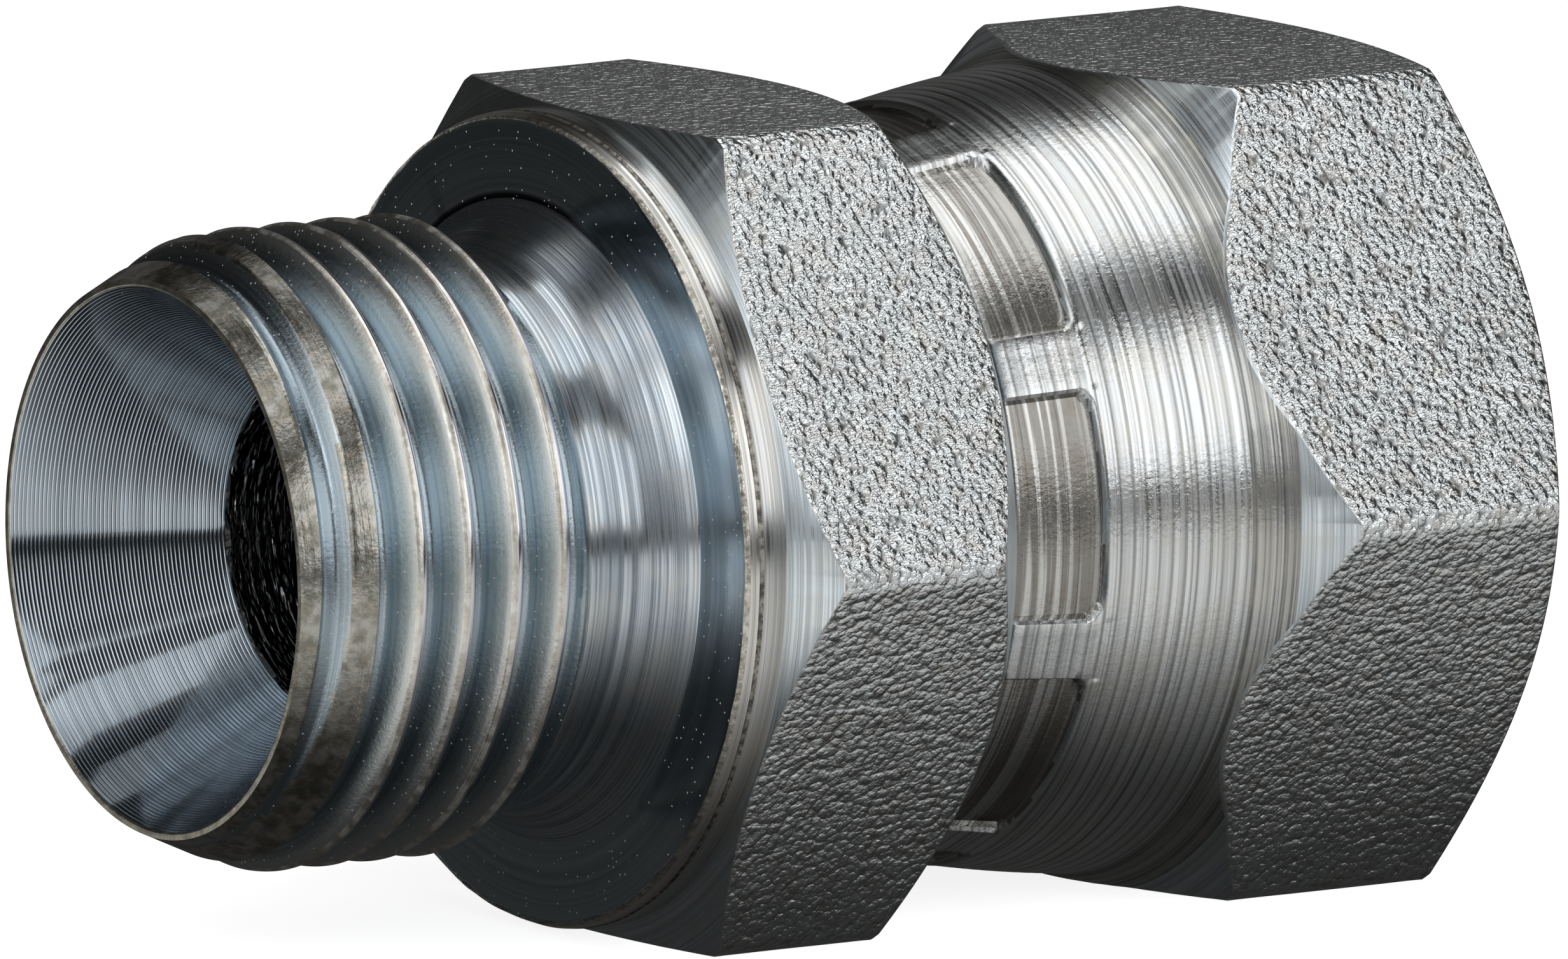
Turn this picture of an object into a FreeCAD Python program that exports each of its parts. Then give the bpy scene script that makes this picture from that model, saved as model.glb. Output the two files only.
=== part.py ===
import FreeCAD, Part
import math
import os
import Sketcher

# Hydraulic adapter: a male parallel pipe thread with a 60 degree cone seat on one end, and a swivel
# nut with the same thread, crimped on behind a bead, on the other. Millimetres and degrees.
# The fitting's axis is X, from the male end to the nut. The origin lies on that axis, in the collar's
# flat sealing face. The hexagons lie on their flats, so +Z is up.

os.makedirs("parts", exist_ok=True)
doc = FreeCAD.newDocument("hydraulic_adapter")


# Driving dimensions

SIZES = [
    ("male_length", 14.4, "mouth of the male end to the collar's sealing face"),
    ("thread_dia", 20.955, "outer diameter of the half inch parallel pipe thread"),
    ("thread_minor_dia", 18.631, "inner diameter of the same thread"),
    ("thread_start_dia", 18.4, "diameter where the male thread's lead chamfer starts"),
    ("seat_mouth_dia", 18.05, "mouth of the cone seat"),
    ("seat_angle", 60, "included angle of the cone seat and of the cone nose"),
    ("bore_dia", 10.8, "flow bore"),
    ("neck_dia", 18.4, "undercut between the male thread and the collar"),
    ("neck_length", 3.2, "undercut's length, its flare included"),
    ("flare_length", 1.57, "flare that runs from the undercut out to the sealing face"),
    ("flare_dia", 21.1, "flare where it meets the sealing face"),
    ("face_dia", 26.4, "outer diameter of the flat sealing face"),
    ("collar_dia", 26.84, "collar behind the sealing face"),
    ("collar_bevel", 0.5, "length of the collar's bevel"),
    ("collar_length", 1.45, "sealing face to the start of the hexagon's front chamfer"),
    ("hex_flats", 27, "size across flats of both hexagons"),
    ("hex_corners", 30.9, "size across the slightly rounded corners of both hexagons"),
    ("body_hex_end", 10.3, "sealing face to the rear face of the body's hexagon"),
    ("body_hex_face_dia", 26.8, "rear face of the body's hexagon"),
    ("body_front_angle", 25.6, "front chamfer of the body's hexagon, from its face"),
    ("body_rear_angle", 40, "rear chamfer of the body's hexagon, from its face"),
    ("tail_dia", 18.6, "tail neck that the crimped lip turns on"),
    ("tail_length", 3.0, "rear face of the hexagon to the bead"),
    ("bead_dia", 21.4, "thrust bead that holds the nut"),
    ("bead_length", 3.6, "bead with its 45 degree thrust cone"),
    ("nose_dia", 18.2, "cone nose at its root"),
    ("nose_land", 1.3, "straight root of the nose"),
    ("nose_length", 4.0, "cone of the nose"),
    ("edge_break", 0.3, "small chamfers on the bead and at the tip of the nose"),
    ("groove_start", 1.2, "root of the nose's cone to its seal groove"),
    ("groove_width", 1.9, "seal groove"),
    ("groove_dia", 13.2, "bottom of the seal groove"),
    ("seal_section", 1.5, "thickness of the rubber ring"),
    ("seal_flats", 12, "flats that stand for the ring's round section"),
    ("seal_play", 0.03, "gap between the ring and the groove's bottom"),
    ("nut_gap", 0.9, "rear face of the body's hexagon to the nut's skirt"),
    ("nut_length", 20.3, "skirt's end to the nut's open face"),
    ("lip_play", 0.4, "radial gap between the crimped lip and the tail neck"),
    ("thrust_play", 0.4, "axial gap between the lip's cone and the bead's cone"),
    ("running_play", 0.08, "radial running gap between the bead and the skirt's bore"),
    ("tip_play", 0.5, "tip of the nose to the first turn of the nut's thread"),
    ("skirt_end_dia", 24.1, "crimped skirt at its end"),
    ("skirt_edge", 0.25, "edge break at the skirt's end"),
    ("crimp_dia", 25.1, "skirt where the jaw marks end"),
    ("crimp_length", 3.1, "jaw marks, from the skirt's end"),
    ("skirt_dia", 26.66, "skirt beside the nut's hexagon"),
    ("skirt_length", 8.3, "skirt's end to the foot of the shoulder"),
    ("skirt_bulge", 0.07, "how far the drawn-in skirt bows out from a straight cone"),
    ("shoulder_dia", 28.1, "shoulder between the skirt and the nut's front chamfer"),
    ("shoulder_length", 1.4, "foot of the shoulder to the front chamfer"),
    ("nut_front_angle", 46, "front chamfer of the nut's hexagon, from its face"),
    ("nut_rear_angle", 30, "rear chamfer of the nut's hexagon, from its face"),
    ("nut_face_dia", 25.9, "open face of the nut"),
    ("entry_dia", 21.5, "mouth of the nut's thread"),
    ("jaw_count", 8, "jaws of the crimping tool"),
    ("jaw_span", 35, "angle that one jaw marks"),
    ("jaw_turn", 5, "turn of the jaw marks against the hexagon's corner"),
    ("jaw_depth", 0.3, "depth of the jaw marks"),
]

sheet = doc.addObject("Spreadsheet::Sheet", "Sizes")
for row, (alias, number, note) in enumerate(SIZES, start=1):
    sheet.set(f"A{row}", alias)
    sheet.set(f"B{row}", str(number))
    sheet.set(f"C{row}", note)
    sheet.setAlias(f"B{row}", alias)
doc.recompute()


def value(expression):
    """The number that an expression of the sheet's names gives now."""
    return float(sheet.evalExpression(expression))


# Lengths that several outlines share, all from the driving dimensions

slope = "tan(Sizes.seat_angle / 2)"
collar_face = "Sizes.male_length"
hex_rear = "Sizes.male_length + Sizes.body_hex_end"
bead_rear = f"{hex_rear} + Sizes.tail_length"
bead_front = f"{bead_rear} + Sizes.bead_length"
cone_root = f"{bead_front} + Sizes.nose_land"
nose_tip = f"{cone_root} + Sizes.nose_length"
groove_near = f"{cone_root} + Sizes.groove_start"
groove_far = f"{groove_near} + Sizes.groove_width"
lip_radius = "Sizes.tail_dia / 2 + Sizes.lip_play"
skirt_bore = "Sizes.bead_dia / 2 + Sizes.running_play"
lip_length = "Sizes.tail_length - Sizes.nut_gap + Sizes.lip_play - Sizes.thrust_play"
nut_thread_start = (
    "Sizes.tail_length + Sizes.bead_length + Sizes.nose_land + Sizes.nose_length"
    " + Sizes.tip_play - Sizes.nut_gap"
)


def nose_radius(along):
    """Radius of the cone nose at a distance from the mouth."""
    return f"Sizes.nose_dia / 2 - (({along}) - ({cone_root})) * {slope}"


def chamfer_run(inner, outer, angle):
    """Axial length of a chamfer between two diameters, its angle taken from the face."""
    return f"(({outer}) - ({inner})) / 2 * tan({angle})"


# Helpers

def new_body(name):
    """A body with its own label, which names its file."""
    body = doc.addObject("PartDesign::Body", name)
    body.Label = name
    return body


def origin_feature(body, role):
    """A plane or axis of the body's own origin."""
    return [item for item in body.Origin.OriginFeatures if item.Role == role][0]


def new_sketch(body, name, role="XY_Plane"):
    """A sketch on a plane of the body's origin."""
    sketch = body.newObject("Sketcher::SketchObject", name)
    sketch.AttachmentSupport = [(origin_feature(body, role), "")]
    sketch.MapMode = "FlatFace"
    return sketch


def pin_point(sketch, geometry, end, along, out):
    """Tie a point of the sketch to two expressions, measured from the origin."""
    for kind, expression in (("DistanceX", along), ("DistanceY", out)):
        size = value(expression)
        if abs(size) < 1e-9:
            axis = -2 if kind == "DistanceX" else -1
            sketch.addConstraint(Sketcher.Constraint("PointOnObject", geometry, end, axis))
            continue
        index = sketch.addConstraint(Sketcher.Constraint(kind, -1, 1, geometry, end, size))
        sketch.setExpression(f"Constraints[{index}]", expression)


def add_arc(sketch, start, bend, end):
    """An arc through three points, drawn counterclockwise, and which of its ends is the start."""
    centre = Part.Arc(start, bend, end).toShape().Curve.Center
    turn = (bend - start).cross(end - bend).z
    near, far = (start, end) if turn > 0 else (end, start)
    near_angle = math.atan2(near.y - centre.y, near.x - centre.x)
    far_angle = math.atan2(far.y - centre.y, far.x - centre.x)
    if far_angle < near_angle:
        far_angle += 2 * math.pi
    circle = Part.Circle(centre, FreeCAD.Vector(0, 0, 1), start.distanceToPoint(centre))
    edge = sketch.addGeometry(Part.ArcOfCircle(circle, near_angle, far_angle), False)
    return edge, 1 if turn > 0 else 2


def outline(sketch, corners):
    """Closed outline through corners, each (along, out) in expressions.

    A corner with a third entry, another (along, out), starts an arc that bends through that point.
    """
    places = [FreeCAD.Vector(value(c[0]), value(c[1]), 0) for c in corners]
    edges = []
    for index, corner in enumerate(corners):
        start = places[index]
        end = places[(index + 1) % len(corners)]
        if len(corner) == 3:
            bend = FreeCAD.Vector(value(corner[2][0]), value(corner[2][1]), 0)
            edge, first = add_arc(sketch, start, bend, end)
            edges.append((edge, first, 3 - first))
            guide = sketch.addGeometry(Part.Point(bend), True)
            pin_point(sketch, guide, 1, *corner[2])
            sketch.addConstraint(Sketcher.Constraint("PointOnObject", guide, 1, edge))
        else:
            edge = sketch.addGeometry(Part.LineSegment(start, end), False)
            edges.append((edge, 1, 2))
    for index, (edge, first, last) in enumerate(edges):
        after = edges[(index + 1) % len(edges)]
        sketch.addConstraint(Sketcher.Constraint("Coincident", edge, last, after[0], after[1]))
        pin_point(sketch, edge, first, corners[index][0], corners[index][1])


def turned(body, name, corners):
    """Revolve an outline about the fitting's axis."""
    sketch = new_sketch(body, name + "_outline")
    outline(sketch, corners)
    feature = body.newObject("PartDesign::Revolution", name)
    feature.Profile = sketch
    feature.ReferenceAxis = (sketch, ["H_Axis"])
    feature.Angle = 360
    sketch.Visibility = False
    doc.recompute()
    return feature


def milled_hexagon(body, name):
    """Cut the six flats: what lies outside the hexagon goes, over the whole length."""
    sketch = new_sketch(body, name + "_outline", "YZ_Plane")
    flat = "Sizes.hex_flats / 2"
    corner = "Sizes.hex_flats / sqrt(3)"
    outline(sketch, [
        (corner, "0"),
        (f"{corner} / 2", flat),
        (f"-{corner} / 2", flat),
        (f"-{corner}", "0"),
        (f"-{corner} / 2", f"-{flat}"),
        (f"{corner} / 2", f"-{flat}"),
    ])
    centre = FreeCAD.Vector(0, 0, 0)
    circle = Part.Circle(centre, FreeCAD.Vector(0, 0, 1), value("Sizes.hex_corners"))
    rim = sketch.addGeometry(circle, False)
    sketch.addConstraint(Sketcher.Constraint("Coincident", rim, 3, -1, 1))
    size = sketch.addConstraint(Sketcher.Constraint("Radius", rim, value("Sizes.hex_corners")))
    sketch.setExpression(f"Constraints[{size}]", "Sizes.hex_corners")
    before = body.Shape.Volume
    feature = body.newObject("PartDesign::Pocket", name)
    feature.Profile = sketch
    feature.Type = "ThroughAll"
    feature.Reversed = True
    sketch.Visibility = False
    doc.recompute()
    assert body.Shape.Volume < before - 1, name + " cuts nothing"
    return feature


# adapter_body: from the mouth of the male end, where its own X starts, to the tip of the cone nose

def make_adapter_body():
    body = new_body("adapter_body")
    thread_start = "(Sizes.thread_dia - Sizes.thread_start_dia) / 2"
    thread_end = "Sizes.male_length - Sizes.neck_length - (Sizes.thread_dia - Sizes.neck_dia) / 2"
    front = chamfer_run("Sizes.collar_dia", "Sizes.hex_corners", "Sizes.body_front_angle")
    rear = chamfer_run("Sizes.body_hex_face_dia", "Sizes.hex_corners", "Sizes.body_rear_angle")
    turned(body, "body_turning", [
        ("0", "Sizes.seat_mouth_dia / 2"),
        ("0", "Sizes.thread_start_dia / 2"),
        (thread_start, "Sizes.thread_dia / 2"),
        (thread_end, "Sizes.thread_dia / 2"),
        ("Sizes.male_length - Sizes.neck_length", "Sizes.neck_dia / 2"),
        ("Sizes.male_length - Sizes.flare_length", "Sizes.neck_dia / 2"),
        (collar_face, "Sizes.flare_dia / 2"),
        (collar_face, "Sizes.face_dia / 2"),
        (f"{collar_face} + Sizes.collar_bevel", "Sizes.collar_dia / 2"),
        (f"{collar_face} + Sizes.collar_length", "Sizes.collar_dia / 2"),
        (f"{collar_face} + Sizes.collar_length + {front}", "Sizes.hex_corners / 2"),
        (f"{hex_rear} - {rear}", "Sizes.hex_corners / 2"),
        (hex_rear, "Sizes.body_hex_face_dia / 2"),
        (hex_rear, "Sizes.tail_dia / 2"),
        (bead_rear, "Sizes.tail_dia / 2"),
        (f"{bead_rear} + (Sizes.bead_dia - Sizes.tail_dia) / 2", "Sizes.bead_dia / 2"),
        (f"{bead_front} - Sizes.edge_break", "Sizes.bead_dia / 2"),
        (bead_front, "Sizes.bead_dia / 2 - Sizes.edge_break"),
        (bead_front, "Sizes.nose_dia / 2"),
        (cone_root, "Sizes.nose_dia / 2"),
        (groove_near, nose_radius(groove_near)),
        (groove_near, "Sizes.groove_dia / 2"),
        (groove_far, "Sizes.groove_dia / 2"),
        (groove_far, nose_radius(groove_far)),
        (nose_tip, nose_radius(nose_tip)),
        (nose_tip, "Sizes.bore_dia / 2 + Sizes.edge_break"),
        (f"{nose_tip} - Sizes.edge_break", "Sizes.bore_dia / 2"),
        (f"(Sizes.seat_mouth_dia - Sizes.bore_dia) / 2 / {slope}", "Sizes.bore_dia / 2"),
    ])
    milled_hexagon(body, "body_hexagon")
    body.setExpression("Placement.Base.x", "-Sizes.male_length")
    return body


# swivel_nut: from the skirt's crimped end, where its own X starts, to its open face

def make_swivel_nut():
    body = new_body("swivel_nut")
    shoulder_end = "Sizes.skirt_length + Sizes.shoulder_length"
    front = chamfer_run("Sizes.shoulder_dia", "Sizes.hex_corners", "Sizes.nut_front_angle")
    rear = chamfer_run("Sizes.nut_face_dia", "Sizes.hex_corners", "Sizes.nut_rear_angle")
    bow = (
        "(Sizes.crimp_length + Sizes.skirt_length) / 2",
        "(Sizes.crimp_dia + Sizes.skirt_dia) / 4 + Sizes.skirt_bulge",
    )
    turned(body, "nut_turning", [
        ("0", lip_radius),
        ("0", "Sizes.skirt_end_dia / 2 - Sizes.skirt_edge"),
        ("Sizes.skirt_edge", "Sizes.skirt_end_dia / 2"),
        ("Sizes.crimp_length", "Sizes.crimp_dia / 2", bow),
        ("Sizes.skirt_length", "Sizes.skirt_dia / 2"),
        (shoulder_end, "Sizes.shoulder_dia / 2"),
        (f"{shoulder_end} + {front}", "Sizes.hex_corners / 2"),
        (f"Sizes.nut_length - {rear}", "Sizes.hex_corners / 2"),
        ("Sizes.nut_length", "Sizes.nut_face_dia / 2"),
        ("Sizes.nut_length", "Sizes.entry_dia / 2"),
        ("Sizes.nut_length - (Sizes.entry_dia - Sizes.thread_minor_dia) / 2", "Sizes.thread_minor_dia / 2"),
        (nut_thread_start, "Sizes.thread_minor_dia / 2"),
        (f"{nut_thread_start} - ({skirt_bore} - Sizes.thread_minor_dia / 2)", skirt_bore),
        (f"{lip_length} + ({skirt_bore} - ({lip_radius}))", skirt_bore),
        (lip_length, lip_radius),
    ])
    milled_hexagon(body, "nut_hexagon")
    press_jaw_marks(body)
    body.setExpression("Placement.Base.x", "Sizes.body_hex_end + Sizes.nut_gap")
    return body


def press_jaw_marks(body):
    """One jaw mark, turned through its angle, then repeated round the skirt."""
    sketch = new_sketch(body, "jaw_mark_outline")
    about_x = FreeCAD.Rotation(FreeCAD.Vector(1, 0, 0), -value("Sizes.jaw_turn"))
    sketch.AttachmentOffset = FreeCAD.Placement(FreeCAD.Vector(0, 0, 0), about_x)
    sketch.setExpression("AttachmentOffset.Rotation.Angle", "-Sizes.jaw_turn")
    outline(sketch, [
        ("0", "Sizes.skirt_end_dia / 2 - Sizes.jaw_depth"),
        ("Sizes.crimp_length", "Sizes.crimp_dia / 2 - Sizes.jaw_depth"),
        ("Sizes.crimp_length", "Sizes.hex_corners / 2"),
        ("0", "Sizes.hex_corners / 2"),
    ])
    before = body.Shape.Volume
    mark = body.newObject("PartDesign::Groove", "jaw_mark")
    mark.Profile = sketch
    mark.ReferenceAxis = (sketch, ["H_Axis"])
    mark.Midplane = True
    mark.setExpression("Angle", "Sizes.jaw_span")
    sketch.Visibility = False
    doc.recompute()
    assert body.Shape.Volume < before - 0.1, "jaw mark cuts nothing"
    marks = body.newObject("PartDesign::PolarPattern", "jaw_marks")
    marks.Originals = [mark]
    marks.Axis = (origin_feature(body, "X_Axis"), [""])
    marks.Angle = 360
    marks.setExpression("Occurrences", "Sizes.jaw_count")
    body.Tip = marks
    doc.recompute()


# nose_seal: rubber ring lying in the groove of the cone nose, its round section in a few flats

def make_nose_seal():
    body = new_body("nose_seal")
    sketch = new_sketch(body, "seal_section")
    middle = "Sizes.groove_dia / 2 + Sizes.seal_play + Sizes.seal_section / 2"
    flats = int(value("Sizes.seal_flats"))
    reach = f"Sizes.seal_section / 2 / cos(180 / {flats})"
    corners = []
    for index in range(flats):
        angle = (index + 0.5) * 360 / flats
        corners.append((
            f"Sizes.seal_section / 2 + {reach} * cos({angle})",
            f"{middle} + {reach} * sin({angle})",
        ))
    outline(sketch, corners)
    feature = body.newObject("PartDesign::Revolution", "seal_ring")
    feature.Profile = sketch
    feature.ReferenceAxis = (sketch, ["H_Axis"])
    feature.Angle = 360
    sketch.Visibility = False
    body.setExpression(
        "Placement.Base.x",
        f"{groove_near} + Sizes.groove_width / 2 - Sizes.seal_section / 2 - Sizes.male_length",
    )
    return body


pieces = [make_adapter_body(), make_swivel_nut(), make_nose_seal()]
doc.recompute()

for item in doc.Objects:
    if "Invalid" in item.State or "Error" in item.State:
        raise RuntimeError(item.Name + " did not build: " + ", ".join(item.State))

for piece in pieces:
    shape = piece.Shape
    if shape.isNull() or not shape.isValid() or len(shape.Solids) != 1:
        raise RuntimeError(piece.Label + " is not one valid solid")
    shape.exportStep("parts/" + piece.Label + ".step")
    box = shape.BoundBox
    print(piece.Label, "volume", round(shape.Volume, 1), "x", round(box.XMin, 3), round(box.XMax, 3))
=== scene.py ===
# %% [markdown]
# # A crimped swivel adapter
# This lesson finishes a small steel hydraulic adapter: a body with a male pipe thread, a hexagon and a
# cone nose, a nut that swivels on it, and a rubber ring in the nose. The engineering model already fixes
# where every piece sits and how the nut turns. Here each piece is made again as a fine mesh with its real
# thread, its eased edges and its plated finish, in the same place and of the same size.

# %% Load the engineering model
import math

import bmesh
import bpy
import numpy as np
from mathutils import Matrix, Vector


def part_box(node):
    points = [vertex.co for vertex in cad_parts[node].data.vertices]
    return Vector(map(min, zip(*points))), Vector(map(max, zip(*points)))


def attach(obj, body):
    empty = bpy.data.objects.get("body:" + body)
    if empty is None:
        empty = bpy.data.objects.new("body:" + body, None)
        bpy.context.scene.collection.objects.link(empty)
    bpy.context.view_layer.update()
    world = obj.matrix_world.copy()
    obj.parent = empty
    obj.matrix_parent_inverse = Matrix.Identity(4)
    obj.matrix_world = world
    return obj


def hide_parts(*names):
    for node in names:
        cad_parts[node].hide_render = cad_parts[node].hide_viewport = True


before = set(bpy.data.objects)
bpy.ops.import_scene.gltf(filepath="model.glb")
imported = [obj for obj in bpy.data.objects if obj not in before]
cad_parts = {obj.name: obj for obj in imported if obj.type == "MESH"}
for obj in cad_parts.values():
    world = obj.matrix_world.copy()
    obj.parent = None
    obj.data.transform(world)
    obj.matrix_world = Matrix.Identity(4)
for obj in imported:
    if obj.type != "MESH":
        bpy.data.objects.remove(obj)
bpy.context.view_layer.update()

# %% [markdown]
# The fitting's axis is X, from the male end to the nut. Angles go round it from the front, -Y, up over
# the top, +Z. The ends and the hexagon come from the frame; what lies between them is measured from the
# collar's sealing face, at x = 0. Everything is written in millimetres and made small at the end, because
# such numbers are easier to read on a turned part.

# %% Sizes
MM = 0.001

body_low, body_high = (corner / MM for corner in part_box("adapter_body"))
nut_low, nut_high = (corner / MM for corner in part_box("swivel_nut"))
seal_low, seal_high = (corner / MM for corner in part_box("nose_seal"))

MOUTH = body_low.x
NOSE_TIP = body_high.x
HALF_FLATS = body_high.z
CORNER_RADIUS = body_high.y
SKIRT_END = nut_low.x
NUT_FACE = nut_high.x

THREAD_RADIUS = 20.955 / 2
THREAD_PITCH = 25.4 / 14
THREAD_DEPTH = 0.640327 * THREAD_PITCH
THREAD_ROUND = 0.137329 * THREAD_PITCH
FLANK_ANGLE = math.radians(27.5)

print(f"length {NUT_FACE - MOUTH:.1f}, across flats {2 * HALF_FLATS:.1f}, pitch {THREAD_PITCH:.3f} mm")

# %% [markdown]
# ## Rings of points
# Nearly all of this object was made on a lathe, so nearly all of it is an outline swept round the axis.
# The Screw modifier would do that, but then a hexagon, a thread or a pressed mark needs a boolean, and
# booleans leave ragged edges. Rings of points that are free to move in and out at every angle make all of
# them in one clean mesh. Bands of quads join the rings, and each band remembers which finish it wears.

# %% A skin made of bands
class Skin:
    """Bands of quads laid side by side round the X axis, in millimetres."""

    def __init__(self, angles):
        self.angles = np.asarray(angles)
        self.points = []
        self.quads = []
        self.finishes = []
        self.count = 0

    def lay(self, along, out, finish, climb=0):
        """Join rings, given by how far along and how far out each point is; climb is the rings per turn."""
        rings, columns = along.shape
        across, up = -out * np.cos(self.angles), out * np.sin(self.angles)
        self.points.append(np.stack([along, across, up], -1).reshape(-1, 3))
        numbers = self.count + np.arange(rings * columns).reshape(rings, columns)
        seam = numbers[np.clip(np.arange(rings) - climb, 0, rings - 1), :1]
        wide = np.hstack([numbers, seam])
        quads = np.stack([wide[:-1, :-1], wide[:-1, 1:], wide[1:, 1:], wide[1:, :-1]], -1)
        self.quads.append(quads.reshape(-1, 4))
        names = [finish] * (rings - 1) if isinstance(finish, str) else finish
        self.finishes += [name for name in names for _ in range(columns)]
        self.count += rings * columns

    def turn(self, outline):
        """Lay plain rings along an outline of (along, out, finish of the band that follows)."""
        flat = np.ones(len(self.angles))
        along = np.array([point[0] for point in outline])[:, None] * flat
        out = np.array([point[1] for point in outline])[:, None] * flat
        self.lay(along, out, [point[2] for point in outline[:-1]])


def eased(corners, steps=4):
    """An outline whose corners, (along, out, size of the easing, finish), are rounded a little."""
    outline = []
    for index, (along, out, ease, finish) in enumerate(corners):
        here = np.array([along, out])
        if ease == 0 or index in (0, len(corners) - 1):
            outline.append((along, out, finish))
            continue
        before = np.array(corners[index - 1][:2]) - here
        after = np.array(corners[index + 1][:2]) - here
        reach = min(ease, 0.45 * np.linalg.norm(before), 0.45 * np.linalg.norm(after))
        start = here + before / np.linalg.norm(before) * reach
        end = here + after / np.linalg.norm(after) * reach
        for t in np.linspace(0, 1, steps + 1):
            bend = (1 - t) ** 2 * start + 2 * t * (1 - t) * here + t ** 2 * end
            outline.append((bend[0], bend[1], finish))
    return outline


# %% [markdown]
# No turned edge is perfect. A sum of a few waves, each with a whole number of humps round the axis, gives
# a smooth unevenness with no seam, and a seeded generator keeps it the same every time.

# %% Unevenness
def unevenness(angles, along, humps, stretch, seed, waves=7):
    """Smooth noise of about unit size, with up to that many humps a turn and a wave every stretch mm."""
    chance = np.random.default_rng(seed)
    total = 0
    for _ in range(waves):
        turns = chance.integers(1, humps + 1) * chance.choice([-1, 1])
        slope = chance.uniform(-1, 1) * 2 * math.pi / stretch
        phase = chance.uniform(0, 2 * math.pi)
        total = total + np.sin(turns * angles + slope * along + phase)
    return total / math.sqrt(waves)


def smooth_min(a, b, blend):
    """The smaller of two, with the crease between them eased."""
    near = np.clip(1 - np.abs(a - b) / blend, 0, 1)
    return np.minimum(a, b) - near ** 2 * blend / 4


# %% [markdown]
# ## Where the columns stand
# The rings share their angles, so the columns of points run straight along the fitting. They are packed
# closely round the six corners, where a fillet turns the edge, and stand about 1.3 degrees apart on the
# flats.

# %% Columns of the body
CORNER_FILLET = 0.5
fillet_centre = (HALF_FLATS - CORNER_FILLET) / math.cos(math.pi / 6)
fillet_reach = fillet_centre + CORNER_FILLET * math.cos(math.pi / 6)
FILLET_HALF = math.atan2(CORNER_FILLET / 2, fillet_reach)


def hexagon_columns(on_fillet=3, on_flat=44):
    """Angles of the columns, measured so that corners stand at 0, 60, 120 degrees and so on."""
    corner = np.linspace(-FILLET_HALF, FILLET_HALF, 2 * on_fillet + 1)
    flat = np.linspace(FILLET_HALF, math.pi / 3 - FILLET_HALF, on_flat + 1)[1:-1]
    sector = np.concatenate([corner, flat])
    return np.concatenate([sector + turn * math.pi / 3 for turn in range(6)])


def hexagon_radius(angles):
    """How far out the hexagon's surface lies, with its filleted corners cut by the bar's own round."""
    from_corner = np.abs((angles + math.pi / 6) % (math.pi / 3) - math.pi / 6)
    flat = HALF_FLATS / np.cos(math.pi / 6 - from_corner)
    inside = np.maximum(CORNER_FILLET ** 2 - (fillet_centre * np.sin(from_corner)) ** 2, 0)
    fillet = fillet_centre * np.cos(from_corner) + np.sqrt(inside)
    radius = np.where(from_corner < FILLET_HALF, fillet, flat)
    return np.minimum(radius, CORNER_RADIUS)


body_angles = hexagon_columns()
print(len(body_angles), "columns round the body")

# %% [markdown]
# ## The male thread
# The thread is a parallel pipe thread: 55 degree flanks with rounded crests and roots, 14 turns to the
# inch. Rings that climb one pitch for each turn follow it exactly, so a crest never has to cut across the
# mesh. The ends are clamped to the lead chamfer and to the undercut, where the thread runs out into clean
# rings; the tool cut the very first turn a little to the left. Then come the small dents that a crest
# picks up in a bin of fittings. A ring keeps its place on the thread's form all the way round, so each
# face can be named: flank, worn crest, crest edge, or land left by the lead chamfer.

# %% The thread's form
def thread_height(phase):
    """How far the rounded thread stands above its root; phase counts pitches from a crest."""
    away = np.abs((phase + 0.5) % 1 - 0.5) * THREAD_PITCH
    tangent = THREAD_ROUND * math.cos(FLANK_ANGLE)
    crest = THREAD_DEPTH - THREAD_ROUND + np.sqrt(np.maximum(THREAD_ROUND ** 2 - away ** 2, 0))
    top_of_flank = THREAD_DEPTH - THREAD_ROUND * (1 - math.sin(FLANK_ANGLE))
    flank = top_of_flank - (away - tangent) / math.tan(FLANK_ANGLE)
    valley = THREAD_PITCH / 2 - away
    root = THREAD_ROUND - np.sqrt(np.maximum(THREAD_ROUND ** 2 - valley ** 2, 0))
    return np.where(away < tangent, crest, np.where(valley < tangent, root, flank))


def thread_rings(start, end, steps, angles):
    """Places along the axis of rings that climb with the thread, clamped to start and end."""
    rings = math.ceil((end - start) / THREAD_PITCH * steps) + steps + 3
    climbed = (np.arange(rings)[:, None] - 1) / steps - 1 + angles / (2 * math.pi)
    free = start + climbed * THREAD_PITCH
    return np.clip(free, start, end), free


# %% Lay the male thread
CREST_ANGLE = math.radians(14)
CREST_PLACE = -12.31
FULL_THREAD = -12.9
RUN_OUT = -3.3
RIM_RADIUS = 9.14
LEAD_SLOPE = 0.45
NECK_RADIUS = 9.1
FIRST_TURN_SHIFT = 0.16
FIRST_TURN_EASE = 0.7
THREAD_STEPS = 18
DENTS = 26


def dents(angles, along, on_crest, seed):
    """Small dents on the crests: how deep they are at each point."""
    chance = np.random.default_rng(seed)
    depth = np.zeros_like(along)
    for _ in range(DENTS):
        angle = chance.uniform(-math.pi, math.pi)
        place = chance.uniform(MOUTH + 1, RUN_OUT - 1)
        deep = chance.uniform(0.03, 0.1)
        wide = chance.uniform(0.12, 0.3)
        round_about = (angles - angle + math.pi) % (2 * math.pi) - math.pi
        away = (round_about * THREAD_RADIUS) ** 2 + (along - place) ** 2 * 0.4
        depth += deep * np.exp(-away / wide ** 2)
    return depth * np.clip(1.6 * on_crest - 0.6, 0, 1)


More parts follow.
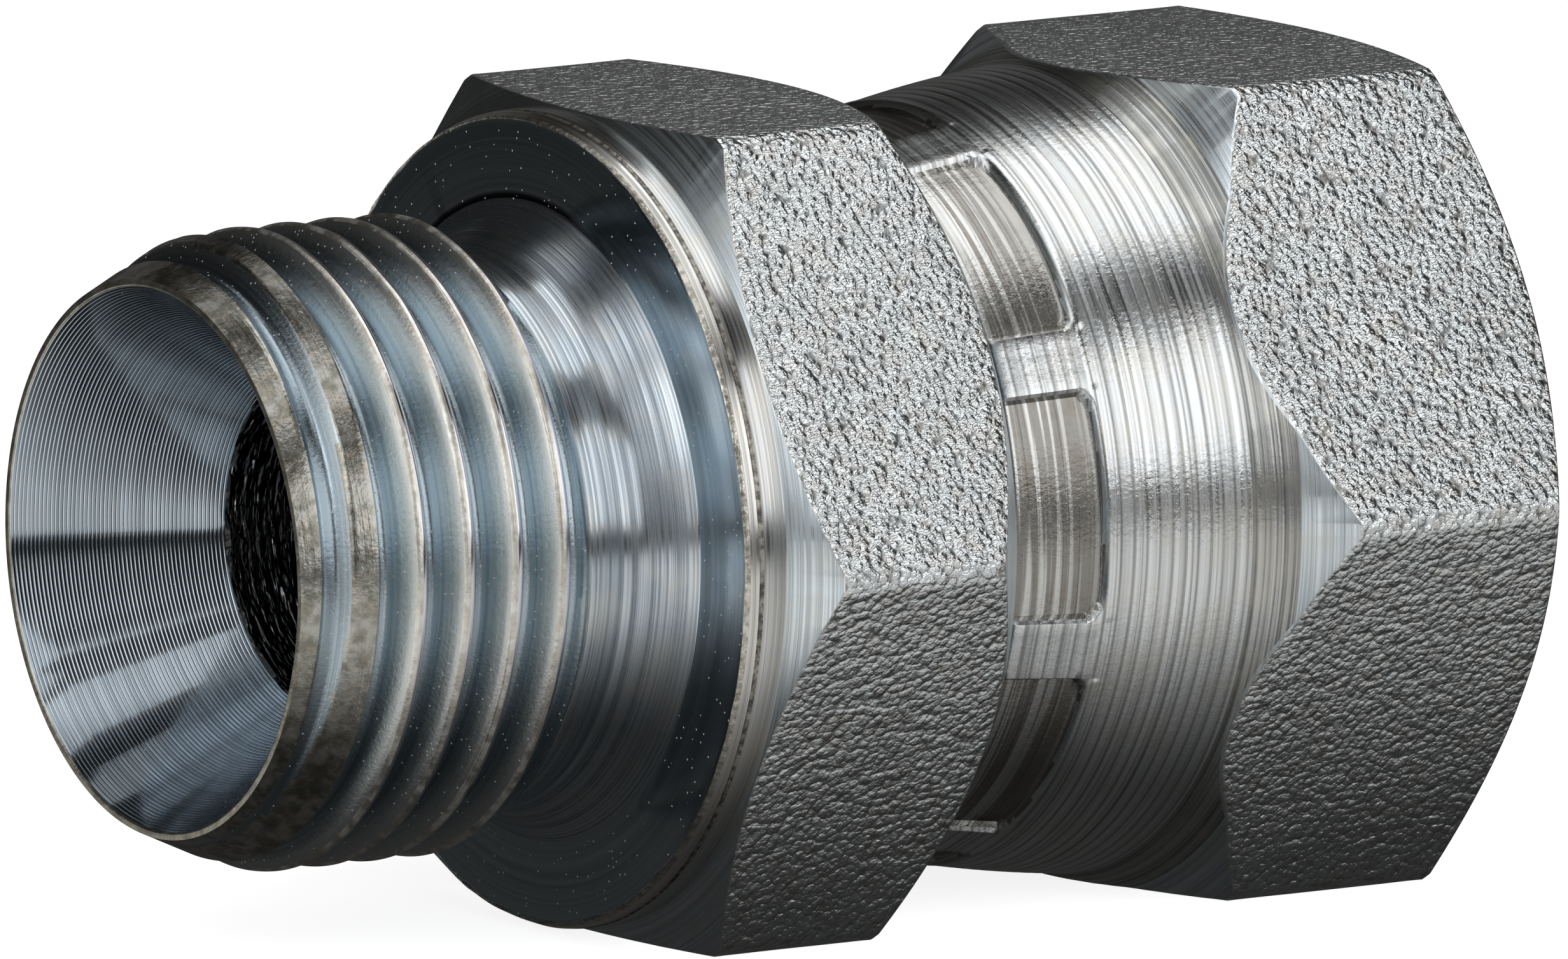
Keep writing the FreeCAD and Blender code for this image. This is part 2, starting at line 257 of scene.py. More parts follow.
def male_thread(angles):
    """Rings of the male thread from the mouth to the undercut."""
    along, free = thread_rings(MOUTH, RUN_OUT, THREAD_STEPS, angles)
    phase = (free - CREST_PLACE) / THREAD_PITCH - (angles - CREST_ANGLE) / (2 * math.pi)
    phase = phase + FIRST_TURN_SHIFT * np.clip((FULL_THREAD - along) / FIRST_TURN_EASE, 0, 1)
    height = thread_height(phase)
    on_crest = height / THREAD_DEPTH
    out = THREAD_RADIUS - THREAD_DEPTH + height
    out = out - dents(angles, along, on_crest, 5)
    out = out + 0.008 * unevenness(angles, along, 23, 1.1, 8) * on_crest
    lead = RIM_RADIUS + (along - MOUTH) * LEAD_SLOPE
    run_out = NECK_RADIUS + (RUN_OUT - along)
    ends = np.minimum(lead, run_out)
    cut = np.where((along <= MOUTH) | (along >= RUN_OUT), ends, smooth_min(out, ends, 0.06))
    return along, cut, phase, out - lead


# shares of a pitch: how wide the worn crest is, and the edge beside it with a painted highlight
WORN_WIDTH = 0.12
CREST_EDGE_WIDTH = 0.15
LAND_MARGIN = 0.02


def thread_finishes(phase, cut_off):
    """Name each face by its place on the thread's form, or as land where the lead chamfer cut it."""
    middle = (phase[:-1] + phase[1:]) / 2
    off = (middle + 0.5) % 1 - 0.5
    names = np.full(off.shape, "thread", dtype=object)
    names[(off > -WORN_WIDTH) & (off < 0)] = "crest"
    names[(off >= 0) & (off < CREST_EDGE_WIDTH)] = "crest_edge"
    names[(cut_off[:-1] + cut_off[1:]) / 2 > -LAND_MARGIN] = "land"
    return names.ravel().tolist()


body = Skin(body_angles)
thread_along, thread_out, thread_phase, cut_off = male_thread(body_angles)
body.lay(thread_along, thread_out, "thread", climb=-THREAD_STEPS)
body.finishes = thread_finishes(thread_phase, cut_off)
print("thread rings:", thread_along.shape[0], "highest crest", round(float(thread_out.max()), 3), "mm")

# %% [markdown]
# ## The collar
# Behind the thread lie the undercut, a bright flare, the dark flat sealing face and a narrow bevel whose
# edge was left with a burr. Each is a corner in one outline; the burr is a ring that wanders a little.

# %% Undercut, flare, sealing face and collar
FLARE_START = -1.57
FACE_INNER = 10.55
FACE_OUTER = 13.2
COLLAR_RADIUS = 13.42
BEVEL_END = 0.5
COLLAR_END = 1.45

body.turn(eased([
    (RUN_OUT, NECK_RADIUS, 0, "neck"),
    (-3.0, 9.17, 0.1, "neck"),
    (-2.2, 9.2, 0.1, "neck"),
    (FLARE_START, 9.36, 0.25, "flare"),
    (-0.75, 9.9, 0.3, "flare"),
    (-0.02, FACE_INNER - 0.02, 0.05, "face"),
    (0, FACE_INNER + 0.3, 0, "face"),
    (0, FACE_OUTER - 0.2, 0, "face"),
]))


def collar_edge(angles):
    """The burred bevel between the sealing face and the hexagon's chamfer."""
    flat = np.ones(len(angles))
    burr = np.maximum(unevenness(angles, 0, 90, 1, 21), 0)
    sway = unevenness(angles, 0, 60, 1, 22)
    places = [
        (0, FACE_OUTER - 0.2, 0, 0),
        (0, FACE_OUTER - 0.05, 0.004, 0.0),
        (-0.015, FACE_OUTER, 0.02, 0.008),
        (0.03, FACE_OUTER + 0.04, 0.008, 0.012),
        (0.14, FACE_OUTER + 0.09, 0.0, 0.006),
        (BEVEL_END - 0.08, COLLAR_RADIUS - 0.03, 0.0, 0.004),
        (BEVEL_END, COLLAR_RADIUS - 0.06, 0.0, 0.004),
        (BEVEL_END + 0.05, COLLAR_RADIUS - 0.05, 0.0, 0.006),
        (BEVEL_END + 0.1, COLLAR_RADIUS - 0.01, 0.0, 0.003),
        (BEVEL_END + 0.25, COLLAR_RADIUS, 0.0, 0.0),
        (COLLAR_END, COLLAR_RADIUS, 0.0, 0.0),
    ]
    along = np.array([x * flat - forward * burr for x, _, forward, _ in places])
    out = np.array([r * flat + wander * sway for _, r, _, wander in places])
    finish = ["face"] + ["burr"] * 3 + ["bevel"] + ["scribe"] * 3 + ["collar"] * 2
    return along, out, finish


edge_along, edge_out, edge_finish = collar_edge(body_angles)
body.lay(edge_along, edge_out, edge_finish)

# %% [markdown]
# ## The hexagon
# The bar was hexagonal before it was turned, so the flats keep the grain of the rolled bar and the
# chamfers are turned cones. Where a cone meets a flat the edge is a curve. A boolean would step across
# it; here the rings themselves bend along it, because the ring for the edge stands, at each angle,
# exactly where the cone reaches the flat.

# %% Lay the body's hexagon
FRONT_SLOPE = math.tan(math.radians(25.6))
REAR_SLOPE = math.tan(math.radians(40))
HEX_END = 10.3
HEX_END_RADIUS = 13.4
EDGE_DROP = 0.02
EDGE_WIDTH = 0.07
EDGE_REACH = 0.06
EDGE_WANDER = 0.012
FLAT_SWELL = 0.012


def chamfered_hexagon(angles, front, rear, rings, seed):
    """Rings over a hexagon between two curved edges; front and rear give x from a radius."""
    radius = hexagon_radius(angles)
    edge = radius - EDGE_DROP
    near, far = front(radius), rear(radius)
    rough = EDGE_WANDER * unevenness(angles, 0, 130, 1, seed)
    along = [front(radius - EDGE_REACH), near + 0.3 * rough, near + EDGE_WIDTH + rough]
    out = [radius - EDGE_REACH, edge, radius]
    for share in np.linspace(0, 1, rings + 2)[1:-1]:
        place = near + EDGE_WIDTH + (far - near - 2 * EDGE_WIDTH) * share
        swell = FLAT_SWELL * unevenness(angles, place, 26, 4.5, seed + 1)
        swell = swell * np.clip(4 * share * (1 - share), 0, 1)
        along.append(place)
        out.append(np.minimum(radius - FLAT_SWELL / 2 + swell, radius))
    along += [far - EDGE_WIDTH - rough, far, rear(radius - EDGE_REACH)]
    out += [radius, edge, radius - EDGE_REACH]
    finish = ["chamfer", "rim"] + ["flat"] * (rings + 1) + ["rim", "chamfer"]
    return np.array(along), np.array(out), finish


def body_front(radius):
    """Where the front chamfer reaches a radius."""
    return COLLAR_END + (radius - COLLAR_RADIUS) * FRONT_SLOPE


def body_rear(radius):
    """Where the rear chamfer reaches a radius."""
    return HEX_END - (radius - HEX_END_RADIUS) * REAR_SLOPE


flat_along, flat_out, flat_finish = chamfered_hexagon(body_angles, body_front, body_rear, 14, 31)
ones = np.ones((1, len(body_angles)))
body.lay(
    np.vstack([COLLAR_END * ones, flat_along, HEX_END * ones]),
    np.vstack([COLLAR_RADIUS * ones, flat_out, HEX_END_RADIUS * ones]),
    ["chamfer"] + flat_finish + ["chamfer"],
)

# %% [markdown]
# ## Tail, bead and nose
# Behind the hexagon the body goes on inside the nut: a tail neck that the crimped lip turns on, a bead
# that holds the nut, and a cone nose with a groove for the rubber ring. Little of it is seen, but the
# open end of the nut looks straight at the nose, so its edges are eased like the others.

# %% Lay the tail and the nose
TAIL_RADIUS = 9.3
BEAD_START = 13.3
BEAD_RADIUS = 10.7
BEAD_END = 16.9
NOSE_RADIUS = 9.1
CONE_ROOT = 18.2
CONE_SLOPE = math.tan(math.radians(30))
GROOVE_START = 19.4
GROOVE_END = 21.3
GROOVE_RADIUS = 6.6
BORE_RADIUS = 5.4
BORE_BEGIN = NOSE_TIP - 3


def nose_out(along):
    """Radius of the cone nose."""
    return NOSE_RADIUS - (along - CONE_ROOT) * CONE_SLOPE


body.turn(eased([
    (HEX_END, HEX_END_RADIUS, 0, "tail"),
    (HEX_END, TAIL_RADIUS, 0.2, "tail"),
    (BEAD_START, TAIL_RADIUS, 0.1, "tail"),
    (BEAD_START + BEAD_RADIUS - TAIL_RADIUS, BEAD_RADIUS, 0.1, "tail"),
    (BEAD_END - 0.3, BEAD_RADIUS, 0.08, "tail"),
    (BEAD_END, BEAD_RADIUS - 0.3, 0.08, "tail"),
    (BEAD_END, NOSE_RADIUS, 0.15, "nose"),
    (CONE_ROOT, NOSE_RADIUS, 0.1, "nose"),
    (GROOVE_START, nose_out(GROOVE_START), 0.08, "nose"),
    (GROOVE_START, GROOVE_RADIUS, 0.12, "nose"),
    (GROOVE_END, GROOVE_RADIUS, 0.12, "nose"),
    (GROOVE_END, nose_out(GROOVE_END), 0.08, "nose"),
    (NOSE_TIP, nose_out(NOSE_TIP), 0.1, "nose"),
    (NOSE_TIP, BORE_RADIUS + 0.3, 0.1, "nose"),
    (NOSE_TIP - 0.3, BORE_RADIUS, 0.1, "bore"),
    (BORE_BEGIN, BORE_RADIUS, 0, "bore"),
]))

# %% [markdown]
# ## The bore and the cone seat
# The drill left the bore torn: a spiral of ridges, painted nearly black as painted shade, with painted
# glints here and there. The ridges are real ridges in the mesh near the mouth, where they can be seen. The
# cone seat in front of it is turned so finely that its grooves belong to the finish, and only the cone
# itself is modelled.

# %% Lay the bore and the cone seat
SEAT_RADIUS = 8.92
SEAT_HALF_ANGLE = math.radians(30)
SEAT_SLOPE = math.tan(SEAT_HALF_ANGLE)
SEAT_END = MOUTH + (SEAT_RADIUS - BORE_RADIUS) / SEAT_SLOPE
TORN_LENGTH = 9.0
TORN_PITCH = 0.62
TORN_DEPTH = 0.11


def torn_bore(angles):
    """Rings of the drilled bore from the nose to the cone seat."""
    places = np.concatenate([
        np.linspace(BORE_BEGIN, SEAT_END + TORN_LENGTH, 8),
        np.linspace(SEAT_END + TORN_LENGTH, SEAT_END, 62)[1:],
    ])
    along = places[:, None] * np.ones(len(angles))
    spiral = along / TORN_PITCH + angles / (2 * math.pi) + 0.13 * unevenness(angles, along, 9, 3.0, 41)
    ridge = np.abs((spiral + 0.5) % 1 - 0.5) * 2
    patchy = 0.6 + 0.4 * unevenness(angles, along, 17, 1.6, 42)
    depth = np.clip(TORN_DEPTH * ridge ** 2 * patchy, 0, 0.16)
    share = np.clip((SEAT_END + TORN_LENGTH - along) / 2, 0, 1) * np.clip((along - SEAT_END) / 0.15, 0, 1)
    return along, BORE_RADIUS - 0.02 * share - depth * share


bore_along, bore_out = torn_bore(body_angles)
body.lay(bore_along, bore_out, "bore")
body.turn(eased([
    (SEAT_END, BORE_RADIUS, 0, "seat"),
    (SEAT_END - 0.2, BORE_RADIUS + 0.2 * SEAT_SLOPE, 0, "seat"),
    (MOUTH + 1, SEAT_RADIUS - SEAT_SLOPE, 0, "seat"),
    (MOUTH, SEAT_RADIUS, 0.05, "end_face"),
    (MOUTH, RIM_RADIUS, 0, "end_face"),
]))
print("bore ridges:", bore_along.shape[0], "rings")

# %% [markdown]
# ## From bands to an object
# The bands share their edges but not yet their points. Merging the points that coincide closes the skin,
# and flattened quads at the thread's ends vanish with them. Edges sharper than a limit stay crisp, and a
# weighted normal modifier keeps the shading of the wide faces flat beside the narrow easings.

# %% Make the body
SHARP = math.radians(38)
MERGE_DISTANCE = 0.0008


def make_object(skin, name):
    """A closed mesh object, in metres, whose faces carry a material index for each finish."""
    bm = bmesh.new()
    points = [bm.verts.new(point) for point in np.concatenate(skin.points).tolist()]
    labels = sorted(set(skin.finishes))
    place = {label: index for index, label in enumerate(labels)}
    for quad, finish in zip(np.concatenate(skin.quads).tolist(), skin.finishes):
        corners = [points[corner] for corner in dict.fromkeys(quad)]
        if len(corners) > 2:
            face = bm.faces.new(corners)
            face.material_index = place[finish]
            face.smooth = True
    bmesh.ops.remove_doubles(bm, verts=bm.verts, dist=MERGE_DISTANCE)
    bmesh.ops.recalc_face_normals(bm, faces=bm.faces)
    for edge in bm.edges:
        edge.smooth = edge.calc_face_angle(0) < SHARP
    open_edges = sum(not edge.is_manifold for edge in bm.edges)
    bmesh.ops.scale(bm, vec=(MM, MM, MM), verts=bm.verts)
    mesh = bpy.data.meshes.new(name)
    triangles = sum(len(face.verts) - 2 for face in bm.faces)
    bm.to_mesh(mesh)
    bm.free()
    piece = bpy.data.objects.new(name, mesh)
    bpy.context.collection.objects.link(piece)
    weighted = piece.modifiers.new("even_shading", "WEIGHTED_NORMAL")
    weighted.keep_sharp = True
    print(f"{name}: {triangles} triangles, {open_edges} open edges, finishes {labels}")
    return piece, labels


body_piece, body_labels = make_object(body, "fitting_body")
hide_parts("adapter_body")
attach(body_piece, "body")

# %% [markdown]
# ## The swivel nut
# The nut is one piece: a hexagon, a shoulder and a skirt. Its skirt was pressed in behind the bead by a
# tool with eight jaws, and each jaw left a sunken mark with a steep wall. Extra columns stand close
# together at the edges of every mark, so that the walls are steep and straight.

# %% Columns of the nut
JAWS = 8
JAW_TURN = math.radians(5)
JAW_HALF = math.radians(17.5)
JAW_WALL = math.radians(1.0)
JAW_DEPTH = 0.3
JAW_LENGTH = 3.1


def jaw_angle(angles):
    """Angle from the middle of the nearest jaw mark."""
    pitch = 2 * math.pi / JAWS
    return (angles - JAW_TURN + pitch / 2) % pitch - pitch / 2


def nut_columns():
    """The hexagon's columns with four more at each edge of each jaw mark."""
    edges = []
    for jaw in range(JAWS):
        middle = JAW_TURN + jaw * 2 * math.pi / JAWS
        for side in (-1, 1):
            for share in (0.0, 0.45, 1.0, 1.7):
                edges.append(middle + side * (JAW_HALF - JAW_WALL * share + 0.4 * JAW_WALL))
    angles = np.sort(np.concatenate([hexagon_columns(3, 38), np.array(edges)]) % (2 * math.pi))
    apart = np.diff(angles, append=angles[0] + 2 * math.pi)
    corner = np.abs((angles + math.pi / 6) % (math.pi / 3) - math.pi / 6) <= FILLET_HALF + 1e-6
    return angles[(apart > math.radians(0.2)) | corner]


nut_angles = nut_columns()
nut = Skin(nut_angles)
print(len(nut_angles), "columns round the nut")

# %% [markdown]
# The skirt narrows towards its end in a gentle bow, and a feed of 0.45 mm left grooves round it that the
# pressing did not wipe away. Both are in the rings. A mark's floor is a smooth cone; metal was pushed up
# a little round its rim, and its two inner corners are cut off, as the jaws' corners are.

# %% Lay the skirt
SKIRT_FOOT = 19.5
SKIRT_FOOT_RADIUS = 13.33
CRIMP_END = SKIRT_END + JAW_LENGTH
CRIMP_RADIUS = 12.55
SKIRT_END_RADIUS = 12.05
SKIRT_BULGE = 0.07
LIP_RADIUS = 9.7
FEED = 0.45
FEED_DEPTH = 0.022
FEED_WIDTH = 0.12


def skirt_radius(along):
    """The skirt's outline without feed marks or jaw marks."""
    radii = [SKIRT_END_RADIUS, CRIMP_RADIUS, SKIRT_FOOT_RADIUS]
    straight = np.interp(along, [SKIRT_END, CRIMP_END, SKIRT_FOOT], radii)
    share = np.clip((along - CRIMP_END) / (SKIRT_FOOT - CRIMP_END), 0, 1)
    return straight + SKIRT_BULGE * 4 * share * (1 - share)


def ramp(value, low, high):
    """0 below low, 1 above high, with a smooth step between."""
    share = np.clip((value - low) / (high - low), 0, 1)
    return share * share * (3 - 2 * share)


SIDE_RIDGE = 0.035
END_RIDGE = 0.03


def jaw_mark(angles, along):
    """How far the jaws pressed the skirt in, and how much metal they pushed up beside each mark."""
    off = np.abs(jaw_angle(angles))
    wall_along = CRIMP_END + 0.06 * unevenness(angles, 0, 14, 1, 51)
    side = 1 - ramp(off, JAW_HALF - JAW_WALL * 0.6, JAW_HALF + JAW_WALL * 0.4)
    end = 1 - ramp(along, wall_along - 0.12, wall_along + 0.1)
    corner = (off - JAW_HALF) * SKIRT_END_RADIUS + (along - CRIMP_END)
    cut = 1 - ramp(corner, -0.55, -0.25)
    depth = JAW_DEPTH * side * end * cut * (0.82 + 0.18 * ramp(along, SKIRT_END, CRIMP_END))
    near_side = np.exp(-((off - JAW_HALF - JAW_WALL) / (0.9 * JAW_WALL)) ** 2) * (along < CRIMP_END)
    near_end = np.exp(-((along - wall_along - 0.2) / 0.12) ** 2) * (off < JAW_HALF)
    return depth, SIDE_RIDGE * near_side + END_RIDGE * near_end


def skirt_rings():
    """Places of the rings: close at the marks' walls and at each feed groove."""
    crimped = np.concatenate([
        np.array([0.0, 0.05, 0.12, 0.2]) + SKIRT_END,
        np.linspace(SKIRT_END + 0.35, CRIMP_END - 0.6, 9),
        np.linspace(CRIMP_END - 0.5, CRIMP_END + 0.4, 19),
    ])
    grooves = np.arange(math.ceil((CRIMP_END + 0.5) / FEED) * FEED, SKIRT_FOOT, FEED)
    fed = (grooves[:, None] + np.array([0, 0.05, 0.1, 0.17, 0.28, 0.38])).ravel()
    return np.concatenate([crimped, fed[fed < SKIRT_FOOT - 0.02], [SKIRT_FOOT]])


skirt_along = skirt_rings()[:, None] * np.ones(len(nut_angles))
pressed, pushed = jaw_mark(nut_angles, skirt_along)
feed_share = (skirt_along / FEED + 0.02 * unevenness(nut_angles, skirt_along, 5, 4, 52)) % 1
groove = np.exp(-(np.minimum(feed_share, 1 - feed_share) / FEED_WIDTH) ** 2)
faint = np.clip((skirt_along - CRIMP_END) / 0.6, 0, 1)
edge_break = 0.22 * np.clip(1 - (skirt_along - SKIRT_END) / 0.2, 0, 1) ** 2
skirt_out = skirt_radius(skirt_along) - pressed + pushed - FEED_DEPTH * groove * faint - edge_break
skirt_out = skirt_out + 0.006 * unevenness(nut_angles, skirt_along, 12, 3, 53)
skirt_out[-1] = SKIRT_FOOT_RADIUS
print("skirt:", skirt_along.shape[0], "rings, deepest mark", round(float(pressed.max()), 2), "mm")

# %% [markdown]
# A band can wear only one finish round the whole turn, but the jaw marks need their own. So the skirt's
# faces are named one by one, by how deeply the jaws pressed each of them.

# %% Name the skirt's finishes
LIP_FACE_RADIUS = LIP_RADIUS + 0.6

ones = np.ones((1, len(nut_angles)))
nut.turn([(SKIRT_END, LIP_RADIUS, "inside"), (SKIRT_END, LIP_FACE_RADIUS, "inside")])
nut.lay(
    np.vstack([SKIRT_END * ones, skirt_along[:1]]),
    np.vstack([LIP_FACE_RADIUS * ones, skirt_out[:1]]),
    "inside",
)
first_skirt_face = len(nut.finishes)
nut.lay(skirt_along, skirt_out, "skirt")
face_depth = (pressed[:-1] + pressed[1:]) / 2
face_depth = (face_depth + np.roll(face_depth, -1, axis=1)) / 2
for index, depth in enumerate(face_depth.ravel()):
    if depth > 0.55 * JAW_DEPTH:
        nut.finishes[first_skirt_face + index] = "jaw"
print("jaw faces:", nut.finishes.count("jaw"))

# %% [markdown]
# The nut's front chamfer has two slopes, a shoulder and a steeper cone, so the function that gives the
# place of the curved edge follows both.

# %% Lay the nut's hexagon
SHOULDER_END = 20.9
SHOULDER_RADIUS = 14.05
SHOULDER_EASE = 0.06
NUT_FRONT_SLOPE = math.tan(math.radians(46))
NUT_REAR_SLOPE = math.tan(math.radians(30))
NUT_FACE_RADIUS = 12.95


def nut_front(radius):
    """Where the shoulder or the front chamfer reaches a radius."""
    corner = SHOULDER_END + (CORNER_RADIUS - SHOULDER_RADIUS) * NUT_FRONT_SLOPE
    radii = [SKIRT_FOOT_RADIUS, SHOULDER_RADIUS, CORNER_RADIUS]
    return np.interp(radius, radii, [SKIRT_FOOT, SHOULDER_END, corner])


def nut_rear(radius):
    """Where the rear chamfer reaches a radius."""
    return NUT_FACE - (radius - NUT_FACE_RADIUS) * NUT_REAR_SLOPE


nut_hex = hexagon_radius(nut_angles)
shoulder = np.minimum(nut_hex - EDGE_REACH, SHOULDER_RADIUS)
shoulder_low = np.minimum(shoulder, SHOULDER_RADIUS - SHOULDER_EASE)
shoulder_high = np.minimum(nut_hex - EDGE_REACH, SHOULDER_RADIUS + SHOULDER_EASE)
flat_along, flat_out, flat_finish = chamfered_hexagon(nut_angles, nut_front, nut_rear, 16, 61)
nut.lay(
    np.vstack([
        SKIRT_FOOT * ones, nut_front(shoulder_low), nut_front(shoulder), nut_front(shoulder_high),
        flat_along, NUT_FACE * ones,
    ]),
    np.vstack([
        SKIRT_FOOT_RADIUS * ones, shoulder_low, shoulder, shoulder_high,
        flat_out, NUT_FACE_RADIUS * ones,
    ]),
    ["shoulder"] * 2 + ["chamfer"] * 2 + flat_finish + ["chamfer"],
)

# %% [markdown]
# ## Inside the nut
# The open end has the same thread as the body, cut inwards, with a chamfer at its mouth and a relief
# behind it. Behind the relief is the bore that turns on the bead, and the cone that the crimp closed
# round it.

# %% Lay the nut's inside
ENTRY_RADIUS = 10.75
RELIEF_RADIUS = 10.78
THREAD_START = 22.7
LIP_LENGTH = 2.1
NUT_STEPS = 14
RELIEF_END = THREAD_START - (RELIEF_RADIUS - (THREAD_RADIUS - THREAD_DEPTH))

along, free = thread_rings(RELIEF_END, NUT_FACE, NUT_STEPS, nut_angles)
phase = free / THREAD_PITCH - nut_angles / (2 * math.pi)
inner = THREAD_RADIUS - THREAD_DEPTH + thread_height(phase)
ends = np.maximum(ENTRY_RADIUS - (NUT_FACE - along), RELIEF_RADIUS - (along - RELIEF_END))
inner = np.where((along <= RELIEF_END) | (along >= NUT_FACE), ends, -smooth_min(-inner, -ends, 0.1))
nut.lay(along, inner, "inner_thread", climb=-NUT_STEPS)
nut.turn([(NUT_FACE, NUT_FACE_RADIUS, "chamfer"), (NUT_FACE, ENTRY_RADIUS, "inner_thread")])
nut.turn(eased([
    (RELIEF_END, RELIEF_RADIUS, 0, "inside"),
    (SKIRT_END + LIP_LENGTH + RELIEF_RADIUS - LIP_RADIUS, RELIEF_RADIUS, 0.1, "inside"),
    (SKIRT_END + LIP_LENGTH, LIP_RADIUS, 0.1, "inside"),
    (SKIRT_END, LIP_RADIUS, 0, "inside"),
]))

nut_piece, nut_labels = make_object(nut, "swivel_nut_shell")
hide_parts("swivel_nut")
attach(nut_piece, "nut")

# %% [markdown]
# ## The rubber ring
# The ring in the nose groove is moulded rubber. It is round in section but for the thin line where the
# two halves of its mould met, and its inner side lies flattened in the groove.

# %% Make the ring
SEAL_SECTION = (seal_high.x - seal_low.x) / 2
SEAL_MIDDLE_X = (seal_high.x + seal_low.x) / 2
SEAL_RING = GROOVE_RADIUS + 0.03 + SEAL_SECTION
SEAL_COLUMNS = 144
SEAL_POINTS = 37
FLASH = 0.02

seal = Skin(np.linspace(0, 2 * math.pi, SEAL_COLUMNS, endpoint=False))
section = np.linspace(0, 2 * math.pi, SEAL_POINTS)
mould_line = FLASH * np.exp(-((np.sin(section) ** 2) / 0.01))
size = SEAL_SECTION - FLASH + mould_line
seal_along = SEAL_MIDDLE_X + size * np.sin(section)
seal_out = np.maximum(SEAL_RING + size * np.cos(section), GROOVE_RADIUS + 0.035)
round_it = np.ones(SEAL_COLUMNS)
seal.lay(seal_along[:, None] * round_it, seal_out[:, None] * round_it, "rubber")
seal_piece, seal_labels = make_object(seal, "nose_ring")
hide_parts("nose_seal")
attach(seal_piece, "body")

# %% [markdown]
# ## A short way to write node trees
# The finishes are procedural: patterns worked out from the place of each point on the piece. A small
# helper adds a node, sets it and joins it in one call, which keeps a material readable as a recipe.

# %% Node helpers
class Graph:
    """Adds nodes to a shader tree and joins them."""

    def __init__(self, tree):
        self.tree = tree

    def add(self, kind, inputs=None, **settings):
        """A new node with its settings, its inputs given by name as numbers or as sockets."""
        node = self.tree.nodes.new("ShaderNode" + kind)
        for name, setting in settings.items():
            setattr(node, name, setting)
        for name, source in (inputs or {}).items():
            self.feed(node.inputs[name], source)
        return node

    def feed(self, socket, source):
        """Join a socket to another, or set it to a number."""
        if isinstance(source, bpy.types.NodeSocket):
            self.tree.links.new(source, socket)
        else:
            socket.default_value = source

    def math(self, operation, *values):
        """The result of a sum, product or other operation on numbers or sockets."""
        node = self.add("Math", operation=operation)
        for socket, source in zip(node.inputs, values):
            self.feed(socket, source)
        return node.outputs[0]

    def span(self, source, low, high, first=0.0, last=1.0):
        """A smooth step from first to last while the source goes from low to high."""
        ends = {"Value": source, "From Min": low, "From Max": high, "To Min": first, "To Max": last}
        return self.add("MapRange", ends, interpolation_type="SMOOTHSTEP").outputs["Result"]

    def noise(self, place, scale, detail=2.0, roughness=0.5):
        """Smooth noise from 0 to 1, with about scale humps a millimetre."""
        settings = {"Vector": place, "Scale": scale, "Detail": detail, "Roughness": roughness}
        return self.add("TexNoise", settings).outputs[0]

    def blend(self, share, first, second):
        """A colour between two."""
        node = self.add("Mix", data_type="RGBA")
        for index, source in ((0, share), (6, first), (7, second)):
            self.feed(node.inputs[index], source)
        return node.outputs[2]

    def group(self, tree, **values):
        """Place a node group with its own values; underscores stand for spaces."""
        node = self.add("Group", node_tree=tree)
        for name, source in values.items():
            self.feed(node.inputs[name.replace("_", " ")], source)
        return node.outputs

    def place(self):
        """Where the point lies on the fitting: (millimetres, along, out, and the way out from the axis)."""
        spot = self.add("TexCoord").outputs["Object"]
        spot = self.add("VectorMath", {0: spot, "Scale": 1 / MM}, operation="SCALE").outputs[0]
        parts = self.add("SeparateXYZ", {0: spot}).outputs
        flat = self.add("CombineXYZ", {"Y": parts["Y"], "Z": parts["Z"]}).outputs[0]
        out = self.add("VectorMath", {0: flat}, operation="LENGTH").outputs["Value"]
        way = self.add("VectorMath", {0: flat}, operation="NORMALIZE").outputs[0]
        return spot, parts["X"], out, way


def new_group(name, inputs, outputs):
    """An empty node group with named number sockets: its graph, its inputs and its outputs."""
    tree = bpy.data.node_groups.new(name, "ShaderNodeTree")
    for label, start in inputs.items():
        socket = tree.interface.new_socket(label, in_out="INPUT", socket_type="NodeSocketFloat")
        socket.default_value = start
    for label in outputs:
        tree.interface.new_socket(label, in_out="OUTPUT", socket_type="NodeSocketFloat")
    entry = tree.nodes.new("NodeGroupInput")
    leaving = tree.nodes.new("NodeGroupOutput")
    return Graph(tree), entry.outputs, leaving.inputs


# %% [markdown]
# ## Effects that several finishes share
# A lathe tool leaves marks that run round the axis. Fine ones are uneven: noise that is squeezed along
# the outline and drawn out round the axis looks like them, and the peaks of a finer one are single
# scratches. The feed leaves regular ones: a valley at each turn. On a thread they climb with it.

